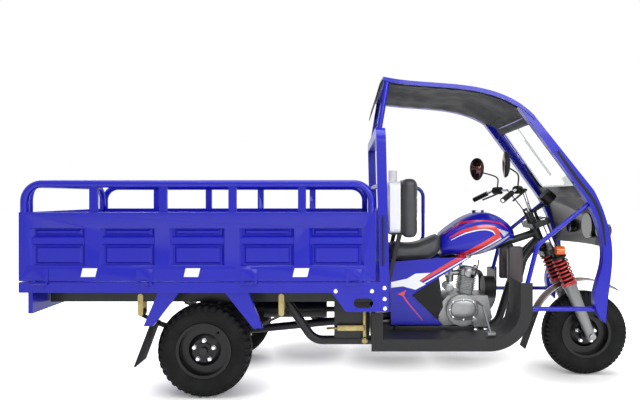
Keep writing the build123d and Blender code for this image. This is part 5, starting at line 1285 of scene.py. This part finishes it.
def finned_cylinder():
    """The cylinder with its cooling fins, the head with its cover, valve caps and bolts."""
    lean = radians(CYLINDER_LEAN)
    top = (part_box("engine_cylinder")[1].z - CYLINDER_FOOT[2]) / cos(lean) - ROCKER_GAP
    blocks = [  # half length, half width, low, high, corner and corner steps
        (CORE_HALF, CORE_HALF, 0, HEAD_Z[0] + HEAD_OVERLAP, CORE_CORNER, 3),
        (HEAD_HALF, HEAD_HALF, *HEAD_Z, HEAD_CORNER, 3),
        (*ROCKER_HALF, HEAD_Z[1] - HEAD_OVERLAP, top, ROCKER_CORNER, 3),
    ]
    blocks += [(FIN_HALF, FIN_HALF, z, z + FIN_SHEET, FIN_CORNER, 1) for z in FINS_Z + HEAD_FINS_Z]
    mesh = bmesh.new()
    for long, wide, low, high, corner, steps in blocks:
        rounded_block(mesh, (-long, -wide, low), (long, wide, high), corner, steps)
    for side in (-1, 1):
        cap = (side * VALVE_CAP_PLACE[0], 0, HEAD_Z[1] + VALVE_CAP_PLACE[1])
        turned_on(mesh, cap, (side, 0, 0), VALVE_CAP, 20)
        for end in (-1, 1):
            bolt = (end * HEAD_BOLTS[0], side * HEAD_BOLTS[1], HEAD_Z[1])
            hexagon(mesh, bolt, (0, 0, 1), *HEAD_BOLT_SIZE)
        turned_on(mesh, (0, side * HEAD_HALF, HEAD_Z[0] + CAM_COVER_RISE), (0, side, 0), CAM_COVER, 24)
    place = Matrix.Translation(CYLINDER_FOOT) @ Matrix.Rotation(lean, 4, "Y")
    bmesh.ops.transform(mesh, matrix=place, verts=mesh.verts)
    piece = add_piece("finned_cylinder", mesh, "alloy", "chassis", sharp=BLOCK_SHARP)
    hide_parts("engine_cylinder")


CARBURETTOR = Vector((0.716, 0.0, 0.672))
CARBURETTOR_FORMS = (  # step from the middle, axis, outline and corner count
    ((-0.034, 0, 0), (1, 0, 0.12), [(0, 0.026), (0.05, 0.024), (0.052, 0.018), (0.10, 0.018)], 20),
    ((0, 0, -0.052), (0, 0, 1), [(0, 0.018), (0.006, 0.025), (0.03, 0.026), (0.10, 0.021)], 20),
    ((0, 0, 0.045), (0, 0, 1), [(0, 0.023), (0.016, 0.023), (0.02, 0.016), (0.03, 0.010)], 20),
    ((0, -0.02, 0.004), (0, -1, 0), [(0, 0.014), (0.012, 0.014), (0.014, 0.008), (0.024, 0.007)], 14),
)


def carburettor():
    """The carburettor behind the cylinder on its inlet pipe, with its bowl and top."""
    mesh = bmesh.new()
    for step, axis, outline, count in CARBURETTOR_FORMS:
        turned_on(mesh, CARBURETTOR + Vector(step), axis, outline, count)
    add_piece("carburettor", mesh, "alloy", "chassis", sharp=CASTING_SHARP)


finned_cylinder()
carburettor()


# Mirrors: the left head is turned in, as in the photo
MIRRORS = ((-1, 0.0, 0.0), (1, 68.0, 0.03))  # side, turn in degrees, and distance set back
MIRROR_WIDTH = 0.112
MIRROR_HEIGHT = 0.165
MIRROR_TAPER = 0.10
MIRROR_Y = 0.318
MIRROR_AHEAD = 0.010  # ahead of the node's rear
MIRROR_SHELL = ((0.0, 0.90), (0.004, 1.0), (0.010, 1.0), (0.020, 0.90), (0.028, 0.66), (0.032, 0.25))
MIRROR_PANE = ((-0.0012, 0.84), (0.003, 0.86))
STALK_RADIUS = 0.005
STALK_FOOT = 0.02  # the node's points below this height are the stalk's foot
STALK_KNEE = (0.006, 0.065)
STALK_RISE = 0.008
STALK_END = (0.022, 0, -0.02)  # from the head's middle


def egg_ring(depth, share, count=32):
    """A ring of a mirror head's outline, a little wider at its top."""
    ring = []
    for index in range(count):
        turn = tau * index / count
        taper = 1 + MIRROR_TAPER * sin(turn)
        y = MIRROR_WIDTH / 2 * share * taper * cos(turn) / (1 + MIRROR_TAPER)
        ring.append(Vector((depth, y, MIRROR_HEIGHT / 2 * share * sin(turn))))
    return ring


def mirror_heads():
    """The two mirrors on their bent stalks: shells with dark glass."""
    low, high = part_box("mirrors")
    verts = [vert.co for vert in nodes["mirrors"].data.vertices]
    shells = bmesh.new()
    glass = bmesh.new()
    for side, turn, back_set in MIRRORS:
        feet = [co for co in verts if co.y * side > 0 and co.z < low.z + STALK_FOOT]
        foot = sum(feet, Vector()) / len(feet)
        centre = Vector((low.x + MIRROR_AHEAD - back_set, side * MIRROR_Y, high.z - MIRROR_HEIGHT / 2))
        place = Matrix.Translation(centre) @ Matrix.Rotation(radians(turn), 4, "Z")
        for mesh, steps in ((shells, MIRROR_SHELL), (glass, MIRROR_PANE)):
            rows = skin(mesh, [egg_ring(depth, share) for depth, share in steps])
            bmesh.ops.transform(mesh, matrix=place, verts=[vert for row in rows for vert in row])
        back = place @ Vector(STALK_END)
        knee = foot + Vector((0, side * STALK_KNEE[0], STALK_KNEE[1]))
        bend = (knee + back) / 2 + Vector((0, 0, STALK_RISE))
        tube_along(shells, smooth_line([foot, knee, bend, back], 6), STALK_RADIUS, 10)
    piece = add_piece("mirror_shells", shells, "plastic", "steering")
    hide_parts("mirrors")
    add_piece("mirror_panes", glass, "mirror", "steering")


mirror_heads()


# Down tube covers
COVER_LOW = (1.078, 0.082, 0.628)
COVER_HIGH = (1.176, 0.134, 0.868)
COVER_CORNER = 0.014


def tube_covers():
    """The brown-grey covers on the two down tubes below the tank."""
    mesh = bmesh.new()
    for side in (-1, 1):
        near, far = sorted((side * COVER_LOW[1], side * COVER_HIGH[1]))
        low = (COVER_LOW[0], near, COVER_LOW[2])
        high = (COVER_HIGH[0], far, COVER_HIGH[2])
        rounded_block(mesh, low, high, COVER_CORNER)
    add_piece("tube_covers", mesh, "brown", "chassis")


tube_covers()


# Dark seams of the windscreen pillars, and a black block under the side panels that is partly the dark frame and
# partly painted shade
PILLAR_SEAM = [(1.283, 1.467), (1.403, 1.300), (1.505, 1.162), (1.551, 1.041), (1.570, 0.902)]
SEAM_WIDTHS = [0.016, 0.020, 0.020, 0.018, 0.010]
# A black block that paints the shade in the gap between the side panels and the footboards, over the dark frame
# there
SHADE_BLOCK_LOW = (0.180, -0.150, 0.312)
SHADE_BLOCK_HIGH = (0.850, 0.150, 0.352)
SHADE_BLOCK_CORNER = 0.006


def pillar_seam(side):
    """The dark seam along one windscreen pillar."""
    end = ENDS[side]
    outlines = strips(band(PILLAR_SEAM, SEAM_WIDTHS))
    film("pillar_seam_" + end, outlines, ["cab_pillars"], side, "plastic")


def frame_and_shade_block():
    """A black block on the lower frame, under the side panels and the engine: partly the dark frame there, and
    partly painted shade that fills the gap where the floor would show through.
    """
    mesh = bmesh.new()
    rounded_block(mesh, SHADE_BLOCK_LOW, SHADE_BLOCK_HIGH, SHADE_BLOCK_CORNER)
    add_piece("frame_and_shade_block", mesh, "black", "chassis")


for_both_sides(pillar_seam)
frame_and_shade_block()


# Brake linkage behind the right footboard
BRACKET_LOW = (-0.062, -0.302, 0.300)
BRACKET_HIGH = (0.160, -0.286, 0.560)
BRACKET_CORNER = 0.005
LEVER_LOW = (0.117, -0.328, 0.288)
LEVER_HIGH = (0.141, -0.300, 0.482)
LEVER_CORNER = 0.006
LINK_ROD = ((-0.110, -0.318, 0.372), (0.128, -0.318, 0.380))
LINK_RADIUS = 0.008
CLEVIS_LOW = (-0.042, -0.332, 0.359)
CLEVIS_HIGH = (0.128, -0.300, 0.395)
CLEVIS_CORNER = 0.004
PIVOT = (0.129, -0.300, 0.300)
PIVOT_OUTLINE = [(0, 0.020), (0.036, 0.020), (0.038, 0.012)]


def brake_linkage():
    """The black bracket between rail and cradle, with the brake's zinc lever and rod on it."""
    mesh = bmesh.new()
    rounded_block(mesh, BRACKET_LOW, BRACKET_HIGH, BRACKET_CORNER)
    add_piece("linkage_bracket", mesh, "black", "chassis")
    mesh = bmesh.new()
    rounded_block(mesh, LEVER_LOW, LEVER_HIGH, LEVER_CORNER)
    tube_along(mesh, LINK_ROD, LINK_RADIUS, 12)
    rounded_block(mesh, CLEVIS_LOW, CLEVIS_HIGH, CLEVIS_CORNER)
    turned_on(mesh, PIVOT, (0, -1, 0), PIVOT_OUTLINE, 20)
    add_piece("brake_linkage", mesh, "zinc", "chassis")


brake_linkage()


# Floor, light and camera
FULL_WHITE = (1.0, 1.0, 1.0, 1.0)
SKY_LIGHT = (0.22, 0.75)  # strength of the surround as a light, at the horizon and overhead
SKY_RISE = (-0.1, 0.9)  # it grows between these heights
FLOOR_SIZE = 40.0
FLOOR_GLOW = (0.12, 0.85)  # how much whiter the floor looks than its light makes it, near and far
FLOOR_FADE = (0.3, 1.3)  # the glow grows between these shares of a spot's radius
FLOOR_SPOTS = (  # x, y and radius of the only places where the floor's shadow shows; elsewhere the floor's painted glow whitens it out
    (-0.83, -0.46, 0.42),
    (-0.83, 0.46, 0.42),
    (1.62, 0.0, 0.5),
    (0.35, 0.55, 0.5),
    (0.9, 0.55, 0.5),
    (-0.25, 0.6, 0.45),
)
SOFT_LIGHTS = (  # name, place, aim, size and power
    ("top_box", (0.3, -0.8, 4.6), (0.0, 0.0, 0.6), (6.0, 3.0), 190.0),
    ("front_box", (2.2, -5.0, 3.0), (0.2, 0.0, 0.8), (3.0, 2.0), 150.0),
    ("rear_box", (-3.5, 4.5, 3.2), (0.0, 0.0, 0.8), (3.0, 2.0), 70.0),
)


def joined(tree, operation, first, second):
    """Two values put together by an operation."""
    return add_node(tree, "Math", {0: first, 1: second}, operation=operation).outputs["Value"]


def seen_rays(tree):
    """1 for what the eye, a mirror or a pane of glass sees, 0 for light on the object."""
    rays = add_node(tree, "LightPath").outputs
    seen = rays["Is Camera Ray"]
    for name in ("Is Glossy Ray", "Is Transmission Ray"):
        seen = joined(tree, "MAXIMUM", seen, rays[name])
    return seen


def stage_floor():
    """A pale studio floor with a painted glow, which whitens out the vehicle's shadow everywhere but near the
    spots.
    """
    mesh = bmesh.new()
    bmesh.ops.create_grid(mesh, x_segments=1, y_segments=1, size=FLOOR_SIZE)
    floor = made("studio_floor", mesh)
    material = surface("studio_white", FLOOR_WHITE, 0.9, mottle=0.01, patch=0.5, edge=0.0)
    tree = material.node_tree
    coords = add_node(tree, "TexCoord").outputs["Object"]
    shares = []
    for x, y, radius in FLOOR_SPOTS:
        away = add_node(tree, "VectorMath", {0: coords, 1: (x, y, 0.0)}, operation="DISTANCE")
        shares.append(joined(tree, "DIVIDE", away.outputs["Value"], radius))
    nearest = shares[0]
    for share in shares[1:]:
        nearest = joined(tree, "MINIMUM", nearest, share)
    # painted light: the floor glows white to the eye and in reflections, least near the spots, so the shadow is
    # kept only there
    glow = joined(tree, "MULTIPLY", seen_rays(tree), ranged(tree, nearest, FLOOR_FADE, FLOOR_GLOW))
    shader = next(node for node in tree.nodes if node.type == "BSDF_PRINCIPLED")
    feed(tree, shader, {"Emission Color": FULL_WHITE, "Emission Strength": glow})
    floor.data.materials.append(material)


def soft_light(name, place, aim, size, power):
    """A softbox turned to a point."""
    light = bpy.data.lights.new(name, "AREA")
    light.shape = "RECTANGLE"
    light.size, light.size_y = size
    light.energy = power
    lamp = placed(name, light)
    lamp.location = place
    lamp.rotation_euler = (Vector(aim) - Vector(place)).to_track_quat("-Z", "Y").to_euler()


def studio_world():
    """A white surround: full white to the eye and in reflections, and dimmer as a light."""
    world = bpy.data.worlds.new("studio")
    bpy.context.scene.world = world
    world.use_nodes = True
    tree = world.node_tree
    tree.nodes.clear()
    sky = add_node(tree, "TexCoord").outputs["Generated"]
    height = add_node(tree, "SeparateXYZ", {"Vector": sky}).outputs["Z"]
    strength = ranged(tree, height, SKY_RISE, SKY_LIGHT)
    light = add_node(tree, "Background", {"Color": FULL_WHITE, "Strength": strength})
    seen = add_node(tree, "Background", {"Color": FULL_WHITE, "Strength": 1.0})
    shaders = {1: light.outputs["Background"], 2: seen.outputs["Background"]}
    mix = add_node(tree, "MixShader", {"Fac": seen_rays(tree), **shaders})
    add_node(tree, "OutputWorld", {"Surface": mix.outputs["Shader"]})


def photo_camera():
    """The camera of the photo, level and square to the vehicle's right-hand side."""
    data = bpy.data.cameras.new("photo_camera")
    data.sensor_width = CAMERA_SENSOR
    data.lens = CAMERA_LENS
    data.shift_x, data.shift_y = CAMERA_SHIFT
    camera = placed("photo_camera", data)
    camera.location = CAMERA_PLACE
    camera.rotation_euler = (radians(90), 0.0, 0.0)
    bpy.context.scene.camera = camera


stage_floor()
studio_world()
for box in SOFT_LIGHTS:
    soft_light(*box)
photo_camera()
bpy.context.scene.view_settings.view_transform = "Standard"
